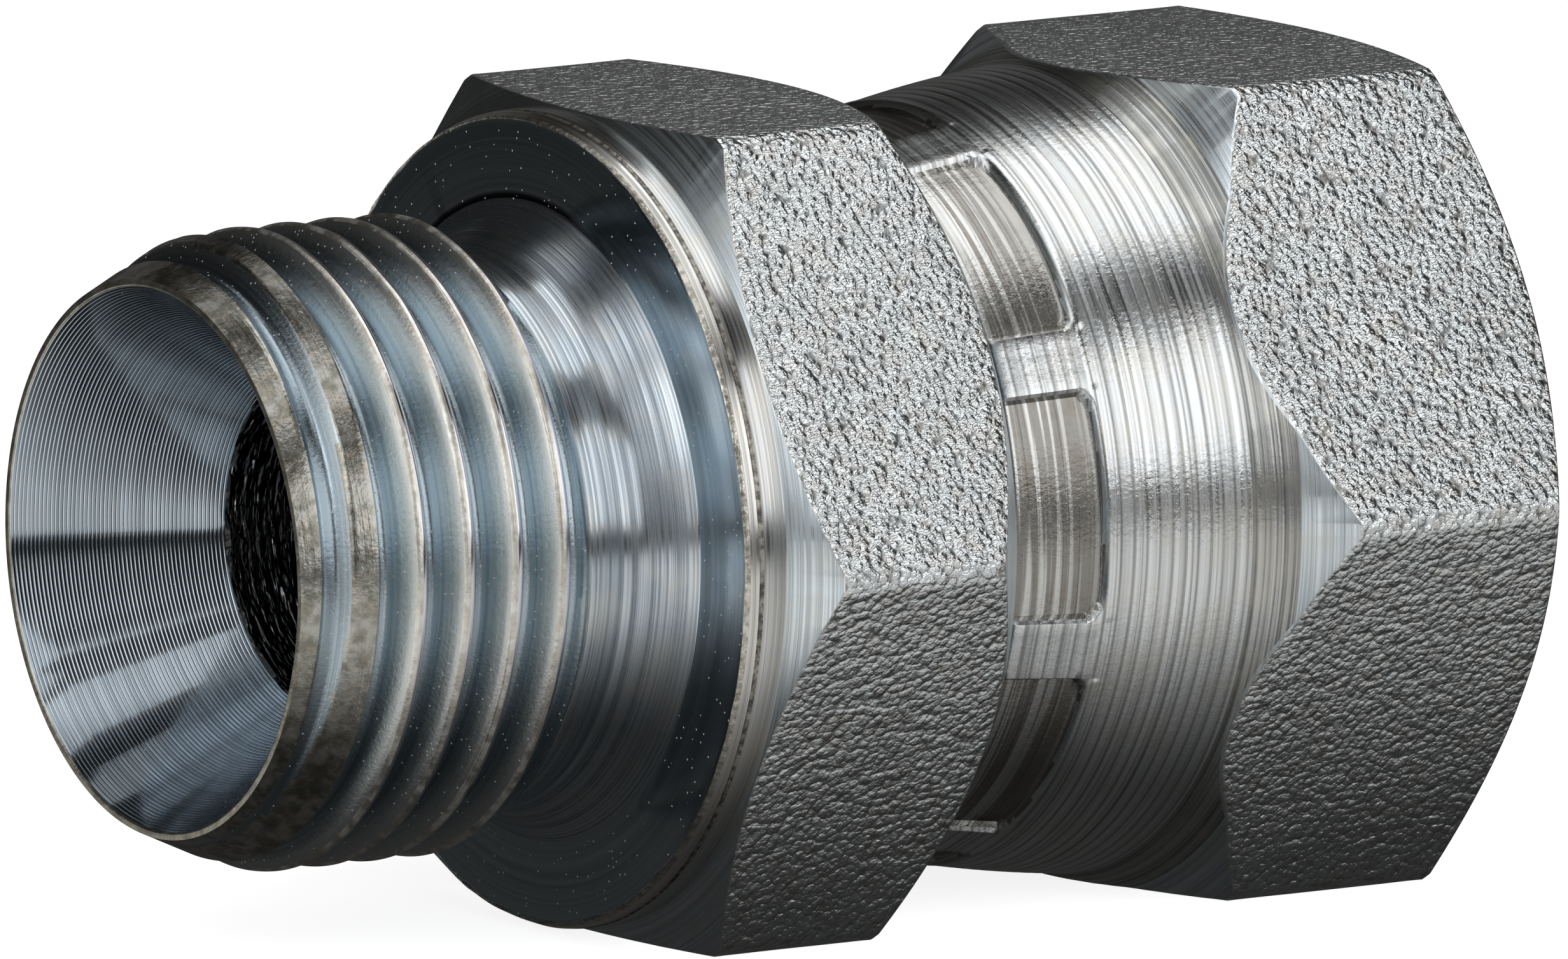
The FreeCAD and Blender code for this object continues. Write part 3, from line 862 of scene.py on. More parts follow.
# %% Turning marks
def make_turning_marks():
    starts = {"Marks per mm": 10.0, "Unevenness": 0.5, "Feed": 0.2, "Climb": 0.0, "Out share": 1.0}
    starts["Width"] = 0.6
    graph, given, out = new_group("turning_marks", starts, ["Streak", "Scratch", "Groove"])
    spot, along, outward, way = graph.place()
    parts = graph.add("SeparateXYZ", {0: spot}).outputs
    turn = graph.math("ARCTAN2", parts["Z"], graph.math("MULTIPLY", parts["Y"], -1.0))
    climbed = graph.math("MULTIPLY", turn, graph.math("DIVIDE", given["Climb"], -2 * math.pi))
    run = graph.math("ADD", graph.math("MULTIPLY_ADD", outward, given["Out share"], along), climbed)
    drawn = []
    for finer in (1.0, 2.3):
        squeezed = graph.math("MULTIPLY", graph.math("MULTIPLY", run, given["Marks per mm"]), finer)
        slow = graph.add("VectorMath", {0: way, "Scale": given["Unevenness"]}, operation="SCALE").outputs[0]
        shift = graph.add("CombineXYZ", {"X": squeezed}).outputs[0]
        drawn.append(graph.add("VectorMath", {0: slow, 1: shift}, operation="ADD").outputs[0])
    graph.feed(out["Streak"], graph.span(graph.noise(drawn[0], 1.0, 2.0, 0.55), 0.3, 0.7))
    graph.feed(out["Scratch"], graph.span(graph.noise(drawn[1], 1.0, 1.0, 0.5), 0.56, 0.74))
    turns = graph.math("DIVIDE", run, given["Feed"])
    wave = graph.math("SINE", graph.math("MULTIPLY", turns, math.pi))
    graph.feed(out["Groove"], graph.span(graph.math("ABSOLUTE", wave), 0.0, given["Width"]))
    return graph.tree


turning_marks = make_turning_marks()
print("group:", turning_marks.name)

# %% [markdown]
# The flats keep the skin of the hot rolled bar, sand-like to the touch: grains about a quarter of
# a millimetre across, with finer ones on them. The distance to the nearest point of a bent cell pattern,
# squared, is a field of small domes with creases between them; a mask of the hollows marks the creases,
# where the flats get painted shade.

# %% Rolled grain
def make_rolled_grain():
    graph, given, out = new_group("rolled_grain", {"Grain": 0.2, "Depth": 0.03}, ["Height", "Hollow"])
    spot = graph.place()[0]
    scale = graph.math("DIVIDE", 1.0, given["Grain"])
    bent = graph.add("TexNoise", {"Vector": spot, "Scale": scale, "Detail": 2.0}).outputs["Color"]
    bent = graph.add("VectorMath", {0: bent, "Scale": 0.12}, operation="SCALE").outputs[0]
    bent = graph.add("VectorMath", {0: spot, 1: bent}, operation="ADD").outputs[0]
    cells = graph.add("TexVoronoi", {"Vector": bent, "Scale": scale}).outputs["Distance"]
    finer = graph.math("MULTIPLY", scale, 2.6)
    small = graph.add("TexVoronoi", {"Vector": bent, "Scale": finer}).outputs["Distance"]
    hollow = graph.math("MULTIPLY", cells, cells)
    hollow = graph.math("MULTIPLY_ADD", graph.math("MULTIPLY", small, small), 0.25, hollow)
    swell = graph.noise(spot, graph.math("MULTIPLY", scale, 0.5), 1.0)
    height = graph.math("SUBTRACT", swell, hollow)
    graph.feed(out["Height"], graph.math("MULTIPLY", height, given["Depth"]))
    graph.feed(out["Hollow"], graph.span(hollow, 0.4, 0.9))
    return graph.tree


rolled_grain = make_rolled_grain()
print("group:", rolled_grain.name)

# %% [markdown]
# The zinc was passivated, which leaves a thin film: bluish on smooth turned metal, and straw-coloured
# in patches where it is thicker. A slow noise in two sizes gives the patches.

# %% Passivation patches
def make_film():
    graph, given, out = new_group("passivation_film", {"Patch": 2.0}, ["Patch", "Cloud"])
    spot = graph.place()[0]
    scale = graph.math("DIVIDE", 1.0, given["Patch"])
    patch = graph.noise(spot, scale, 3.0, 0.6)
    cloud = graph.noise(spot, graph.math("MULTIPLY", scale, 0.37), 2.0, 0.5)
    graph.feed(out["Patch"], graph.span(patch, 0.42, 0.68))
    graph.feed(out["Cloud"], graph.span(cloud, 0.3, 0.7))
    return graph.tree


passivation_film = make_film()
print("group:", passivation_film.name)

# %% [markdown]
# Dust lies on everything, and shows as tiny pale specks on the dark mirror-like surfaces. Each cell of a
# cell pattern may hold a speck: those whose random colour is darker than a limit do.

# %% Dust specks
def make_dust():
    graph, given, out = new_group("dust_specks", {"Spacing": 0.3, "Size": 0.12, "Share": 0.3}, ["Speck"])
    spot = graph.place()[0]
    scale = graph.math("DIVIDE", 1.0, given["Spacing"])
    cells = graph.add("TexVoronoi", {"Vector": spot, "Scale": scale}, feature="F1").outputs
    chosen = graph.math("GREATER_THAN", given["Share"], cells["Color"])
    near = graph.math("LESS_THAN", cells["Distance"], given["Size"])
    graph.feed(out["Speck"], graph.math("MULTIPLY", chosen, near))
    return graph.tree


dust_specks = make_dust()
print("group:", dust_specks.name)

# %% [markdown]
# ## The finishes
# Every finish but the rubber is bare-looking metal, so each is a Principled shader with full metallic.
# What differs is how the tool left it. Turned metal is rough across its marks and smooth along them; the
# anisotropic setting with a tangent that runs round the axis does that, and the reflections then end in
# straight sharp lines, as they do in the photograph.

# %% A metal to start from
ANISOTROPIC_ROTATION = 0.25


def metal(name, roughness, anisotropy=0.0):
    """A material with a metallic Principled shader: its graph and the shader's inputs."""
    material = bpy.data.materials.new(name)
    material.use_nodes = True
    material.node_tree.nodes.clear()
    graph = Graph(material.node_tree)
    shader = graph.add("BsdfPrincipled", {"Metallic": 1.0, "Roughness": roughness})
    surface = graph.add("OutputMaterial")
    graph.feed(surface.inputs["Surface"], shader.outputs["BSDF"])
    if anisotropy:
        shader.inputs["Anisotropic"].default_value = anisotropy
        shader.inputs["Anisotropic Rotation"].default_value = ANISOTROPIC_ROTATION
        tangent = graph.add("Tangent", direction_type="RADIAL", axis="X")
        graph.feed(shader.inputs["Tangent"], tangent.outputs["Tangent"])
    return material, graph, shader.inputs


def bump(graph, height):
    """Turn a height in millimetres into a normal."""
    return graph.add("Bump", {"Height": height, "Distance": MM, "Strength": 1.0}).outputs["Normal"]


# %% [markdown]
# Colour, surface and gloss follow the same streaks, so that they look like one cut and not like paint.
# The skirt's feed grooves are in its mesh already; here their floors also get painted shade, a darker
# colour.

# %% Turned finishes
BLUE_ZINC = (0.56, 0.65, 0.73, 1)
BRIGHT_ZINC = (0.80, 0.82, 0.82, 1)
STRAW = (0.72, 0.66, 0.55, 1)
SCRATCH = (0.10, 0.11, 0.12, 1)
FEED_SHADE = (0.42, 0.43, 0.42, 1)


def turned_metal(name, light, shade, marks, depth, roughness, patch=0.25, scratch=0.5, pits=0.0, feed=0.0):
    """Turned metal: fine streaks in its colour and its surface, single scratches, patches of straw."""
    material, graph, shader = metal(name, roughness, 0.75)
    grooves = {"Feed": feed, "Out_share": 0.0} if feed else {}
    lines = graph.group(turning_marks, Marks_per_mm=marks, **grooves)
    film = graph.group(passivation_film, Patch=1.6)
    colour = graph.blend(lines["Streak"], shade, light)
    if feed:
        # Painted shade on the floors of the feed grooves.
        colour = graph.blend(lines["Groove"], FEED_SHADE, colour)
    colour = graph.blend(graph.math("MULTIPLY", lines["Scratch"], scratch), colour, SCRATCH)
    colour = graph.blend(graph.math("MULTIPLY", film["Patch"], patch), colour, STRAW)
    graph.feed(shader["Base Color"], colour)
    rough = graph.span(lines["Streak"], 0.0, 1.0, roughness + 0.1, roughness - 0.04)
    graph.feed(shader["Roughness"], rough)
    height = graph.math("MULTIPLY", lines["Streak"], depth)
    if pits:
        pitting = graph.noise(graph.place()[0], 5.0, 3.0, 0.7)
        height = graph.math("MULTIPLY_ADD", pitting, pits, height)
    graph.feed(shader["Normal"], bump(graph, height))
    return material


finishes = {
    "neck": turned_metal(
        "turned_neck", (0.68, 0.75, 0.81, 1), (0.34, 0.4, 0.45, 1), marks=11, depth=0.0016, roughness=0.24,
    ),
    "flare": turned_metal(
        "turned_flare", (0.66, 0.74, 0.81, 1), (0.3, 0.35, 0.4, 1), marks=11, depth=0.0016, roughness=0.26,
    ),
    "bevel": turned_metal(
        "turned_bevel", (0.88, 0.88, 0.86, 1), (0.6, 0.59, 0.55, 1),
        marks=8, depth=0.003, roughness=0.25, patch=0.3,
    ),
    "collar": turned_metal(
        "turned_collar", BRIGHT_ZINC, (0.5, 0.5, 0.48, 1), marks=9, depth=0.003, roughness=0.24,
    ),
    "chamfer": turned_metal(
        "turned_chamfer", (0.86, 0.94, 0.99, 1), (0.62, 0.7, 0.75, 1),
        marks=9, depth=0.0016, roughness=0.27,
    ),
    "tail": turned_metal(
        "turned_tail", BLUE_ZINC, (0.3, 0.36, 0.4, 1), marks=8, depth=0.003, roughness=0.25,
    ),
    "nose": turned_metal(
        "turned_nose", BLUE_ZINC, (0.35, 0.41, 0.46, 1), marks=8, depth=0.002, roughness=0.2,
    ),
    "inside": turned_metal(
        "turned_inside", (0.5, 0.53, 0.55, 1), (0.3, 0.32, 0.34, 1), marks=7, depth=0.004, roughness=0.3,
    ),
    "shoulder": turned_metal(
        "turned_shoulder", (0.66, 0.67, 0.66, 1), (0.22, 0.23, 0.22, 1),
        marks=7, depth=0.006, roughness=0.3, scratch=0.9, pits=0.006,
    ),
    "skirt": turned_metal(
        "turned_skirt", (0.94, 0.97, 0.98, 1), (0.7, 0.73, 0.74, 1),
        marks=7, depth=0.0025, roughness=0.27, scratch=0.45, pits=0.012, feed=FEED,
    ),
}
print("turned finishes:", len(finishes))

# %% [markdown]
# Dust isn't metal, so where it lies the shader is less metallic as well as paler.

# %% Dust on a metal
DUST = (0.72, 0.74, 0.70, 1)


def dusty(graph, shader, colour, roughness, share):
    """Lay dust over a metal: share tells how much of the surface it hides."""
    graph.feed(shader["Base Color"], graph.blend(share, colour, DUST))
    graph.feed(shader["Metallic"], graph.math("SUBTRACT", 1.0, share))
    graph.feed(shader["Roughness"], graph.math("MAXIMUM", roughness, share))


# %% [markdown]
# The cone seat was cut with a pointed tool and a quick feed, so its grooves are regular and far deeper
# for their width than the marks elsewhere. Between them the cone is smooth and mirrors whatever is before
# it; the groove walls throw light in from the sides, and a pale colour in the grooves adds a painted
# highlight, which is why the seat looks ruled with bright lines.

# %% The cone seat
SEAT_FEED = 0.133


def seat_metal():
    """Dark blue-grey steel with grooves whose pale colour is a painted highlight."""
    material, graph, shader = metal("turned_seat", 0.1, 0.3)
    feed = SEAT_FEED * (math.cos(SEAT_HALF_ANGLE) + math.sin(SEAT_HALF_ANGLE))
    lines = graph.group(turning_marks, Marks_per_mm=5.0, Feed=feed, Out_share=-1.0, Width=0.75)
    dust = graph.group(dust_specks, Spacing=0.22, Size=0.11, Share=0.15)
    colour = graph.blend(lines["Streak"], (0.24, 0.29, 0.33, 1), (0.38, 0.45, 0.51, 1))
    # The pale groove colour is a painted highlight on top of the real bumped grooves.
    colour = graph.blend(lines["Groove"], (0.84, 0.88, 0.92, 1), colour)
    dusty(graph, shader, colour, 0.1, graph.math("MULTIPLY", dust["Speck"], 0.6))
    height = graph.math("MULTIPLY", lines["Groove"], 0.0105)
    height = graph.math("MULTIPLY_ADD", lines["Streak"], 0.0006, height)
    graph.feed(shader["Normal"], bump(graph, height))
    return material


finishes["seat"] = seat_metal()
print("the seat's grooves stand", SEAT_FEED, "mm apart")

# %% [markdown]
# The sealing face is the smoothest surface of all. Turned away from the lamps, it mirrors the dark room
# behind the fitting, and dust shows on it as pale specks.

# %% The sealing face
def face_metal():
    """The sealing face: almost a mirror, with dust on it."""
    material, graph, shader = metal("sealing_face", 0.12, 0.5)
    lines = graph.group(turning_marks, Marks_per_mm=7.0, Unevenness=0.5)
    dust = graph.group(dust_specks, Spacing=0.24, Size=0.14, Share=0.4)
    colour = graph.blend(lines["Streak"], (0.48, 0.56, 0.61, 1), (0.66, 0.75, 0.82, 1))
    dusty(graph, shader, colour, 0.12, dust["Speck"])
    graph.feed(shader["Normal"], bump(graph, graph.math("MULTIPLY", lines["Streak"], 0.0006)))
    return material


finishes["face"] = face_metal()
print("finishes so far:", len(finishes))

# %% [markdown]
# On the thread the film is blue-grey on flanks and roots. Towards the crest it grows pale and dull, with
# fine dust caught on it in patches, and the crest itself is worn to a mottled cream, lined along the
# thread. How far a point lies from the axis tells how high on the flank it is.

# %% The threads
def thread_metal(name, crest_radius, root_radius):
    """Cut thread: blue-grey flanks that grow hazy towards the crest."""
    material, graph, shader = metal(name, 0.24, 0.3)
    spot, _, outward, _ = graph.place()
    lines = graph.group(turning_marks, Marks_per_mm=6.0, Climb=THREAD_PITCH)
    dust = graph.group(dust_specks, Spacing=0.2, Size=0.16, Share=0.4)
    flank = graph.blend(lines["Streak"], (0.3, 0.37, 0.42, 1), (0.47, 0.55, 0.6, 1))
    fine = graph.noise(spot, 7.0, 4.0, 0.7)
    rise = crest_radius - root_radius
    ragged = graph.math("MULTIPLY_ADD", fine, 0.5 * rise, outward)
    haze = graph.span(ragged, root_radius + 0.4 * rise, root_radius + 1.3 * rise)
    colour = graph.blend(haze, flank, (0.72, 0.75, 0.72, 1))
    rough = graph.span(haze, 0.0, 1.0, 0.2, 0.33)
    dusty(graph, shader, colour, rough, graph.math("MULTIPLY", dust["Speck"], 0.8))
    height = graph.math("MULTIPLY", fine, 0.012)
    height = graph.math("MULTIPLY_ADD", lines["Streak"], 0.0015, height)
    graph.feed(shader["Normal"], bump(graph, height))
    return material


def worn_metal(name, light, dark, lines_depth, dustiness, roughness, climb=0.0):
    """Worn or scraped metal, mottled cream and brown, with lines along the thread."""
    material, graph, shader = metal(name, roughness, 0.3)
    spot = graph.place()[0]
    lines = graph.group(turning_marks, Marks_per_mm=6.0, Unevenness=1.2, Climb=climb)
    film = graph.group(passivation_film, Patch=0.45)
    grain = graph.noise(spot, 1.6, 4.0, 0.6)
    colour = graph.blend(graph.span(grain, 0.36, 0.6), dark, light)
    colour = graph.blend(graph.math("MULTIPLY", film["Patch"], 0.35), colour, (0.62, 0.52, 0.42, 1))
    colour = graph.blend(graph.math("MULTIPLY", lines["Scratch"], 0.6), colour, (0.3, 0.27, 0.22, 1))
    dusty(graph, shader, colour, roughness, graph.math("MULTIPLY", graph.span(grain, 0.45, 0.7), dustiness))
    height = graph.math("MULTIPLY", graph.noise(spot, 6.0, 3.0, 0.6), 0.014)
    height = graph.math("MULTIPLY_ADD", lines["Streak"], lines_depth, height)
    graph.feed(shader["Normal"], bump(graph, height))
    return material


finishes["thread"] = thread_metal("cut_thread", THREAD_RADIUS, THREAD_RADIUS - THREAD_DEPTH)
finishes["inner_thread"] = thread_metal("tapped_thread", THREAD_RADIUS - THREAD_DEPTH, THREAD_RADIUS)
finishes["crest"] = worn_metal(
    "worn_crest", (0.95, 0.93, 0.86, 1), (0.7, 0.67, 0.6, 1),
    lines_depth=0.006, dustiness=0.2, roughness=0.34, climb=THREAD_PITCH,
)
# The crest edge's pale lilac colour is a painted highlight: the bright line along each crest's edge.
finishes["crest_edge"] = turned_metal(
    "crest_edge", (0.86, 0.86, 0.93, 1), (0.66, 0.66, 0.74, 1),
    marks=6, depth=0.001, roughness=0.2, patch=0.1,
)
finishes["land"] = worn_metal(
    "mouth_land", (0.5, 0.5, 0.46, 1), (0.26, 0.26, 0.22, 1),
    lines_depth=0.003, dustiness=0.05, roughness=0.24,
)
finishes["end_face"] = worn_metal(
    "end_face", (0.5, 0.49, 0.42, 1), (0.3, 0.29, 0.24, 1),
    lines_depth=0.002, dustiness=0.05, roughness=0.3,
)
print("finishes so far:", len(finishes))

# %% [markdown]
# The flats wear the rolled grain, and their rims the same grain rubbed down and brighter.

# %% The flats
RUBBED_BROWN = (0.6, 0.52, 0.42, 1)
FILM_GREY = (0.45, 0.5, 0.54, 1)


def flat_metal(name, colour, hollow, depth, roughness):
    """The rolled skin: grains of one colour, with painted shade of another colour in the hollows between
    them.
    """
    material, graph, shader = metal(name, roughness)
    grain = graph.group(rolled_grain, Grain=0.27, Depth=depth)
    film = graph.group(passivation_film, Patch=0.8)
    # The hollow colour is painted shade in the creases between the grains.
    shade = graph.blend(graph.math("MULTIPLY", grain["Hollow"], 0.9), colour, hollow)
    shade = graph.blend(graph.math("MULTIPLY", film["Patch"], 0.3), shade, RUBBED_BROWN)
    shade = graph.blend(graph.math("MULTIPLY", film["Cloud"], 0.2), shade, FILM_GREY)
    graph.feed(shader["Base Color"], shade)
    graph.feed(shader["Roughness"], graph.span(grain["Hollow"], 0, 1, roughness - 0.06, roughness + 0.15))
    graph.feed(shader["Normal"], bump(graph, grain["Height"]))
    return material


finishes["flat"] = flat_metal(
    "rolled_flat", (0.85, 0.89, 0.9, 1), (0.35, 0.36, 0.35, 1), depth=0.1, roughness=0.32,
)
finishes["rim"] = flat_metal(
    "rubbed_rim", (0.92, 0.92, 0.9, 1), (0.3, 0.29, 0.26, 1), depth=0.05, roughness=0.33,
)
print("finishes so far:", len(finishes))

# %% [markdown]
# Where the jaws pressed, the metal is brownish and dull, with streaks left over from turning. The burr on
# the collar's edge and the scribed line behind it are small, bright and dark in turn. The bore is torn;
# its near-black colour is painted shade, and its bright torn lines are painted glints.

# %% Jaw marks, burr, scribed line and bore
def pressed_metal():
    """The jaws' marks: brownish, with streaks left from turning that grow brighter to the skirt's end."""
    material, graph, shader = metal("pressed_mark", 0.3, 0.55)
    spot, along, _, _ = graph.place()
    lines = graph.group(turning_marks, Marks_per_mm=4.0, Unevenness=1.0)
    film = graph.group(passivation_film, Patch=1.1)
    bright_side = graph.span(along, CRIMP_END - 0.3, SKIRT_END + 1.2, 0.35, 1.0)
    streak = graph.math("MULTIPLY", graph.span(lines["Streak"], 0.45, 0.85), bright_side)
    colour = graph.blend(film["Patch"], (0.33, 0.32, 0.30, 1), (0.29, 0.27, 0.24, 1))
    colour = graph.blend(graph.math("MULTIPLY", lines["Scratch"], 0.6), colour, (0.12, 0.11, 0.10, 1))
    colour = graph.blend(streak, colour, (0.74, 0.75, 0.73, 1))
    graph.feed(shader["Base Color"], colour)
    graph.feed(shader["Roughness"], graph.math("MULTIPLY_ADD", film["Cloud"], 0.1, 0.24))
    pits = graph.math("MULTIPLY", graph.noise(spot, 5.0, 3.0, 0.7), 0.02)
    graph.feed(shader["Normal"], bump(graph, graph.math("MULTIPLY_ADD", lines["Streak"], 0.012, pits)))
    return material


def rough_metal(name, colour, dark, size, depth, roughness):
    """Torn or scribed metal with lumps of a given size, in millimetres."""
    material, graph, shader = metal(name, roughness)
    lumps = graph.noise(graph.place()[0], 1 / size, 4.0, 0.6)
    graph.feed(shader["Base Color"], graph.blend(graph.span(lumps, 0.35, 0.65), dark, colour))
    graph.feed(shader["Normal"], bump(graph, graph.math("MULTIPLY", lumps, depth)))
    return material


def painted_dark_bore_metal():
    """The drilled bore: painted shade, nearly black, with painted glints along torn lines round it."""
    material, graph, shader = metal("torn_bore", 0.2)
    lines = graph.group(turning_marks, Marks_per_mm=4.0, Unevenness=5.0)
    patches = graph.span(graph.noise(graph.place()[0], 3.0), 0.46, 0.64)
    painted_glint = graph.math("MULTIPLY", lines["Scratch"], patches)
    # Nearly black is painted shade; the bright torn lines are painted glints.
    graph.feed(shader["Base Color"], graph.blend(painted_glint, (0.06, 0.06, 0.06, 1), (0.95, 0.95, 0.95, 1)))
    graph.feed(shader["Normal"], bump(graph, graph.math("MULTIPLY", lines["Streak"], 0.08)))
    return material


finishes["jaw"] = pressed_metal()
finishes["burr"] = rough_metal(
    "burred_edge", (0.85, 0.82, 0.74, 1), (0.45, 0.42, 0.36, 1), size=0.25, depth=0.03, roughness=0.25,
)
finishes["scribe"] = rough_metal(
    "scribed_line", (0.5, 0.48, 0.42, 1), (0.12, 0.11, 0.1, 1), size=0.3, depth=0.03, roughness=0.35,
)
finishes["bore"] = painted_dark_bore_metal()
print("finishes so far:", len(finishes))

# %% [markdown]
# The ring is black rubber, a little grey with talc. It is the one piece that isn't metal.

# %% Rubber
def rubber():
    """Black rubber with a little talc."""
    material, graph, shader = metal("black_rubber", 0.55)
    shader["Metallic"].default_value = 0.0
    spot = graph.place()[0]
    talc = graph.span(graph.noise(spot, 2.2, 4.0, 0.65), 0.45, 0.75)
    graph.feed(shader["Base Color"], graph.blend(talc, (0.012, 0.012, 0.013, 1), (0.05, 0.05, 0.05, 1)))
    graph.feed(shader["Roughness"], graph.span(talc, 0, 1, 0.42, 0.7))
    graph.feed(shader["Normal"], bump(graph, graph.math("MULTIPLY", graph.noise(spot, 14.0), 0.006)))
    return material


finishes["rubber"] = rubber()

# %% [markdown]
# Each piece has kept the names of its finishes in the order of its material slots, so the materials are
# put on in that order.

# %% Put the finishes on
for piece, labels in ((body_piece, body_labels), (nut_piece, nut_labels), (seal_piece, seal_labels)):
    for label in labels:
        piece.data.materials.append(finishes[label])
print("finishes:", sorted(finishes))

# %% [markdown]
# ## Floor and surroundings
# Polished metal shows its surroundings more than itself. The photograph is a cut-out on white, but the
# metal mirrors a dark room with soft lamps. So the floor and the backdrop are pale to the camera and dark
# to reflected rays: a Light Path node picks between the two. The floor still catches the fitting's soft
# shadow. To reflected rays the floor also glows with painted light: a pool in front of the fitting and to
# its left, with painted shade close to the fitting, fading out far away.

# %% Floor
FLOOR_SIZE = 4.0
FLOOR_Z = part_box("adapter_body")[0].z


def pale_and_dark(tree, pale, dark):
    """Show the first shader to the camera and the second to every other ray."""
    graph = Graph(tree)
    path = graph.add("LightPath")
    mix = graph.add("MixShader", {"Fac": path.outputs["Is Camera Ray"]})
    graph.feed(mix.inputs[1], dark)
    graph.feed(mix.inputs[2], pale)
    return mix.outputs["Shader"]


PAINTED_POOL_IN_FRONT = (-9.0, -36.0)
PAINTED_POOL_ON_LEFT = (-16.0, -34.0)
LEFT_REACH = (60.0, 20.0)
TABLE_EDGE = (190.0, 130.0)
TABLE_LEFT_EDGE = (-190.0, -130.0)


def painted_table_light(graph):
    """Painted light on the table, seen only in reflections: a pool in front and to the left, painted shade
    close to the fitting, dark far away.
    """
    spot, along, outward, _ = graph.place()
    across = graph.add("SeparateXYZ", {0: spot}).outputs["Y"]
    front = graph.span(across, *PAINTED_POOL_IN_FRONT, 0.03, 0.64)
    left = graph.span(along, *PAINTED_POOL_ON_LEFT, 0.0, 0.85)
    left = graph.math("MULTIPLY", left, graph.span(across, *LEFT_REACH))
    lit = graph.math("MAXIMUM", front, left)
    lit = graph.math("MULTIPLY", lit, graph.span(outward, *TABLE_EDGE))
    return graph.math("MULTIPLY", lit, graph.span(along, *TABLE_LEFT_EDGE))


def make_floor():
    """A wide pale sheet that the fitting lies on."""
    half = FLOOR_SIZE / 2
    corners = [(x * half, y * half, FLOOR_Z) for x, y in ((-1, -1), (1, -1), (1, 1), (-1, 1))]
    mesh = bpy.data.meshes.new("floor")
    mesh.from_pydata(corners, [], [(0, 1, 2, 3)])
    floor = bpy.data.objects.new("floor", mesh)
    bpy.context.collection.objects.link(floor)
    material = bpy.data.materials.new("pale_floor")
    material.use_nodes = True
    material.node_tree.nodes.clear()
    graph = Graph(material.node_tree)
    paper = graph.add("BsdfDiffuse", {"Color": (0.9, 0.9, 0.9, 1)})
    glow = graph.add("Emission", {"Color": (1, 1, 1, 1), "Strength": 0.86})
    lit = graph.add("AddShader")
    graph.feed(lit.inputs[0], paper.outputs["BSDF"])
    graph.feed(lit.inputs[1], glow.outputs["Emission"])
    # To reflected rays the floor glows: a painted pool of light in front and to the left, painted shade
    # near the fitting.
    painted_table_glow = graph.add("Emission", {"Color": (1, 0.99, 0.97, 1), "Strength": painted_table_light(graph)})
    shown = pale_and_dark(material.node_tree, lit.outputs["Shader"], painted_table_glow.outputs["Emission"])
    graph.feed(graph.add("OutputMaterial").inputs["Surface"], shown)
    mesh.materials.append(material)


make_floor()
print("floor at", round(FLOOR_Z / MM, 1), "mm")

# %% [markdown]
# The backdrop is the world itself, by the same trick: white to the camera, a dim warm room to the metal.

# %% Backdrop
def make_world():
    """White to the camera, a dim room to the metal."""
    world = bpy.data.worlds.new("studio")
    world.use_nodes = True
    world.node_tree.nodes.clear()
    graph = Graph(world.node_tree)
    pale = graph.add("Background", {"Color": (1, 1, 1, 1), "Strength": 1.0})
    dark = graph.add("Background", {"Color": (1.0, 0.97, 0.92, 1), "Strength": 0.018})
    shown = pale_and_dark(world.node_tree, pale.outputs["Background"], dark.outputs["Background"])
    graph.feed(graph.add("OutputWorld").inputs["Surface"], shown)
    bpy.context.scene.world = world
    print("backdrop:", world.name)


make_world()

# %% [markdown]
# ## Lamps
# The reflections on the fitting tell where the lamps stood: a wide one in front, which lights the upper
# flats, and on the left one low, two higher and one high, which draw the bright bands along the thread,
# the skirt and the seat. A small one stands behind on the left, a faint one behind on the right that only
# the top flats mirror, and a square one hangs close over the nut. Each is a rectangle, placed by its
# direction and turned to what it lights, and its strength is given as the brightness that a mirror would
# show.

# %% Softboxes
def softbox(name, azimuth, elevation, distance, width, height, brightness, aim=(0, 0, 0)):
    """A rectangular lamp; azimuth counts from the front, -Y, towards +X. Sizes in millimetres."""
    turn, lift = math.radians(azimuth), math.radians(elevation)
    way = Vector((math.sin(turn) * math.cos(lift), -math.cos(turn) * math.cos(lift), math.sin(lift)))
    lamp = bpy.data.lights.new(name, "AREA")
    lamp.shape = "RECTANGLE"
    lamp.size, lamp.size_y = width * MM, height * MM
    lamp.energy = brightness * math.pi * lamp.size * lamp.size_y
    holder = bpy.data.objects.new(name, lamp)
    facing = way.to_track_quat("Z", "Y").to_matrix().to_4x4()
    holder.matrix_world = Matrix.Translation((Vector(aim) + way * distance) * MM) @ facing
    bpy.context.collection.objects.link(holder)


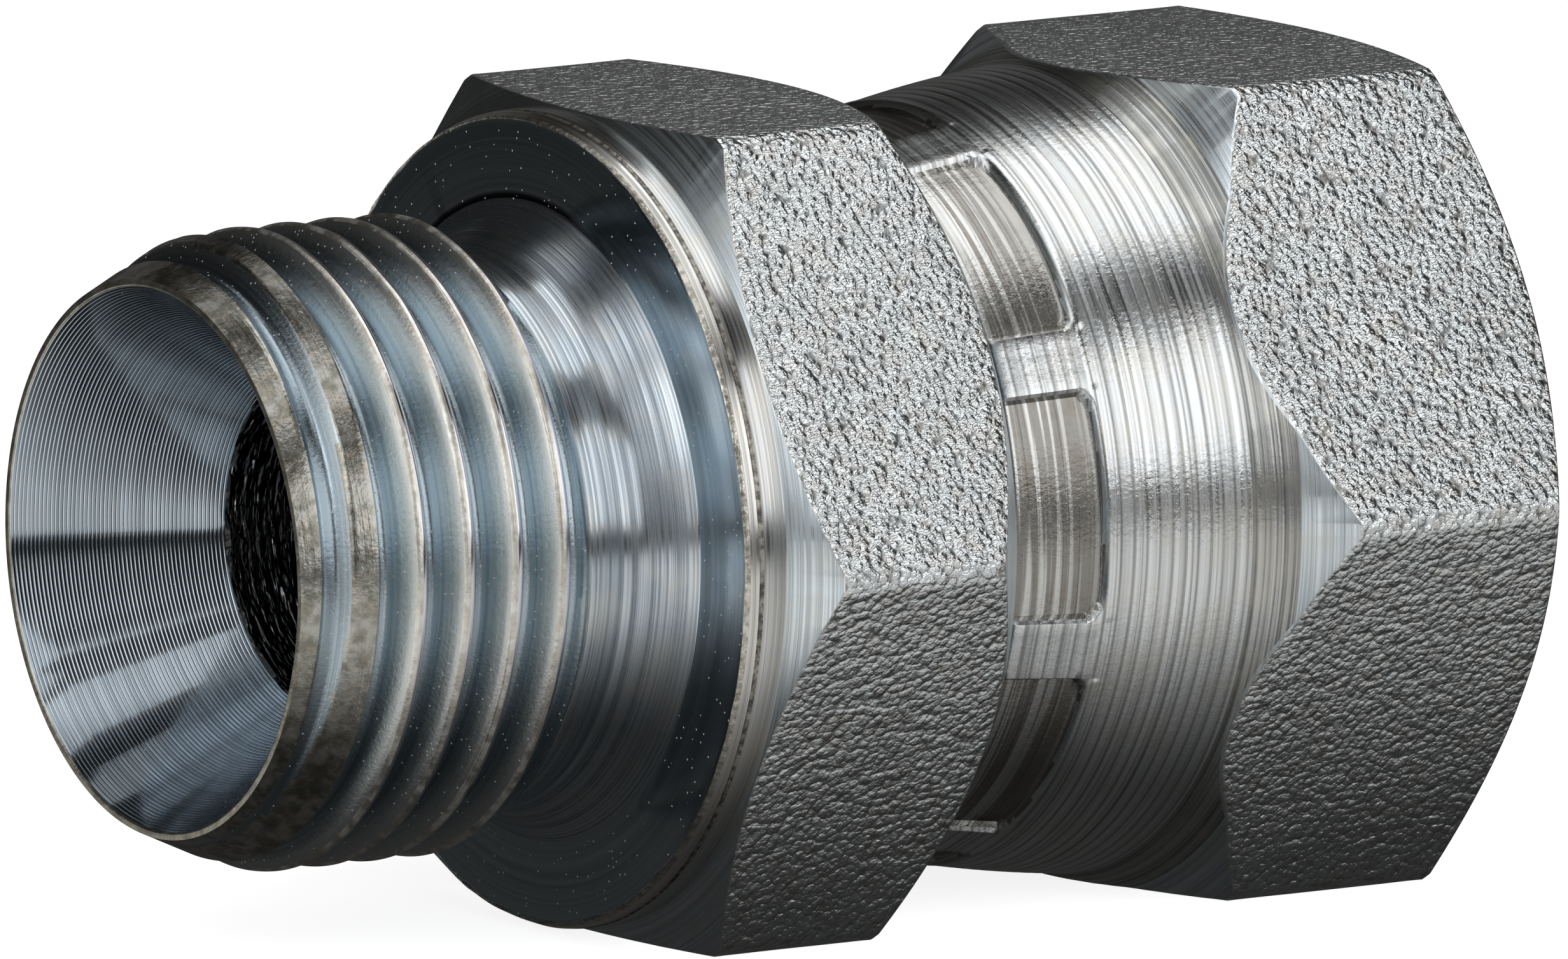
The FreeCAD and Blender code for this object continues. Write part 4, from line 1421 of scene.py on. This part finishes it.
softbox("front_lamp", 20, 24, 300, 520, 200, 1.25)
softbox("left_lamp", -56, 31, 300, 128, 127, 1.1)
softbox("high_left_lamp", -47, 64, 300, 230, 106, 1.1)
softbox("rear_left_lamp", -162, 63, 300, 130, 90, 0.5)
softbox("side_lamp", -84, 13, 260, 390, 112, 0.85)
softbox("upper_left_lamp", -80, 37, 300, 230, 150, 0.85, (10, 0, 0))
softbox("back_lamp", 148, 14, 300, 260, 110, 0.06)
softbox("overhead_lamp", 90, 80, 92, 82, 88, 1.45, (21, -3, 13))
print("lamps:", len(bpy.data.lights))

# %% [markdown]
# ## Camera
# A long lens a good way off: the fitting is seen almost without perspective, from the left, a little
# above. The camera's angle, roll and scale were fitted to the edges of the hexagons and the rims in the
# photograph.

# %% Camera
VIEW_AZIMUTH = math.radians(-32.481)
VIEW_ELEVATION = math.radians(9.763)
VIEW_ROLL = math.radians(0.285)
VIEW_DISTANCE = 1480.0
PIXELS_PER_MM = 48.232
IMAGE_WIDTH = 2464
SENSOR_WIDTH = 36
AIM_X = -0.90737
AIM_RIGHT = 9.0916
AIM_UP = 1.428


def make_camera():
    """The camera, from the direction, the roll and the scale of the photograph."""
    back = Vector((
        math.sin(VIEW_AZIMUTH) * math.cos(VIEW_ELEVATION),
        -math.cos(VIEW_AZIMUTH) * math.cos(VIEW_ELEVATION),
        math.sin(VIEW_ELEVATION),
    ))
    level = Vector((math.cos(VIEW_AZIMUTH), math.sin(VIEW_AZIMUTH), 0))
    rise = back.cross(level)
    right = level * math.cos(VIEW_ROLL) + rise * math.sin(VIEW_ROLL)
    up = rise * math.cos(VIEW_ROLL) - level * math.sin(VIEW_ROLL)
    place = Vector((AIM_X, 0, 0)) + right * AIM_RIGHT + up * AIM_UP + back * VIEW_DISTANCE
    camera = bpy.data.objects.new("camera", bpy.data.cameras.new("camera"))
    camera.data.sensor_width = SENSOR_WIDTH
    camera.data.lens = SENSOR_WIDTH * PIXELS_PER_MM * VIEW_DISTANCE / IMAGE_WIDTH
    turn = Matrix((right, up, back)).transposed().to_4x4()
    camera.matrix_world = Matrix.Translation(place * MM) @ turn
    bpy.context.collection.objects.link(camera)
    bpy.context.scene.camera = camera
    return camera


camera = make_camera()
bpy.context.scene.view_settings.view_transform = "Standard"
print("lens", round(camera.data.lens, 1), "mm")
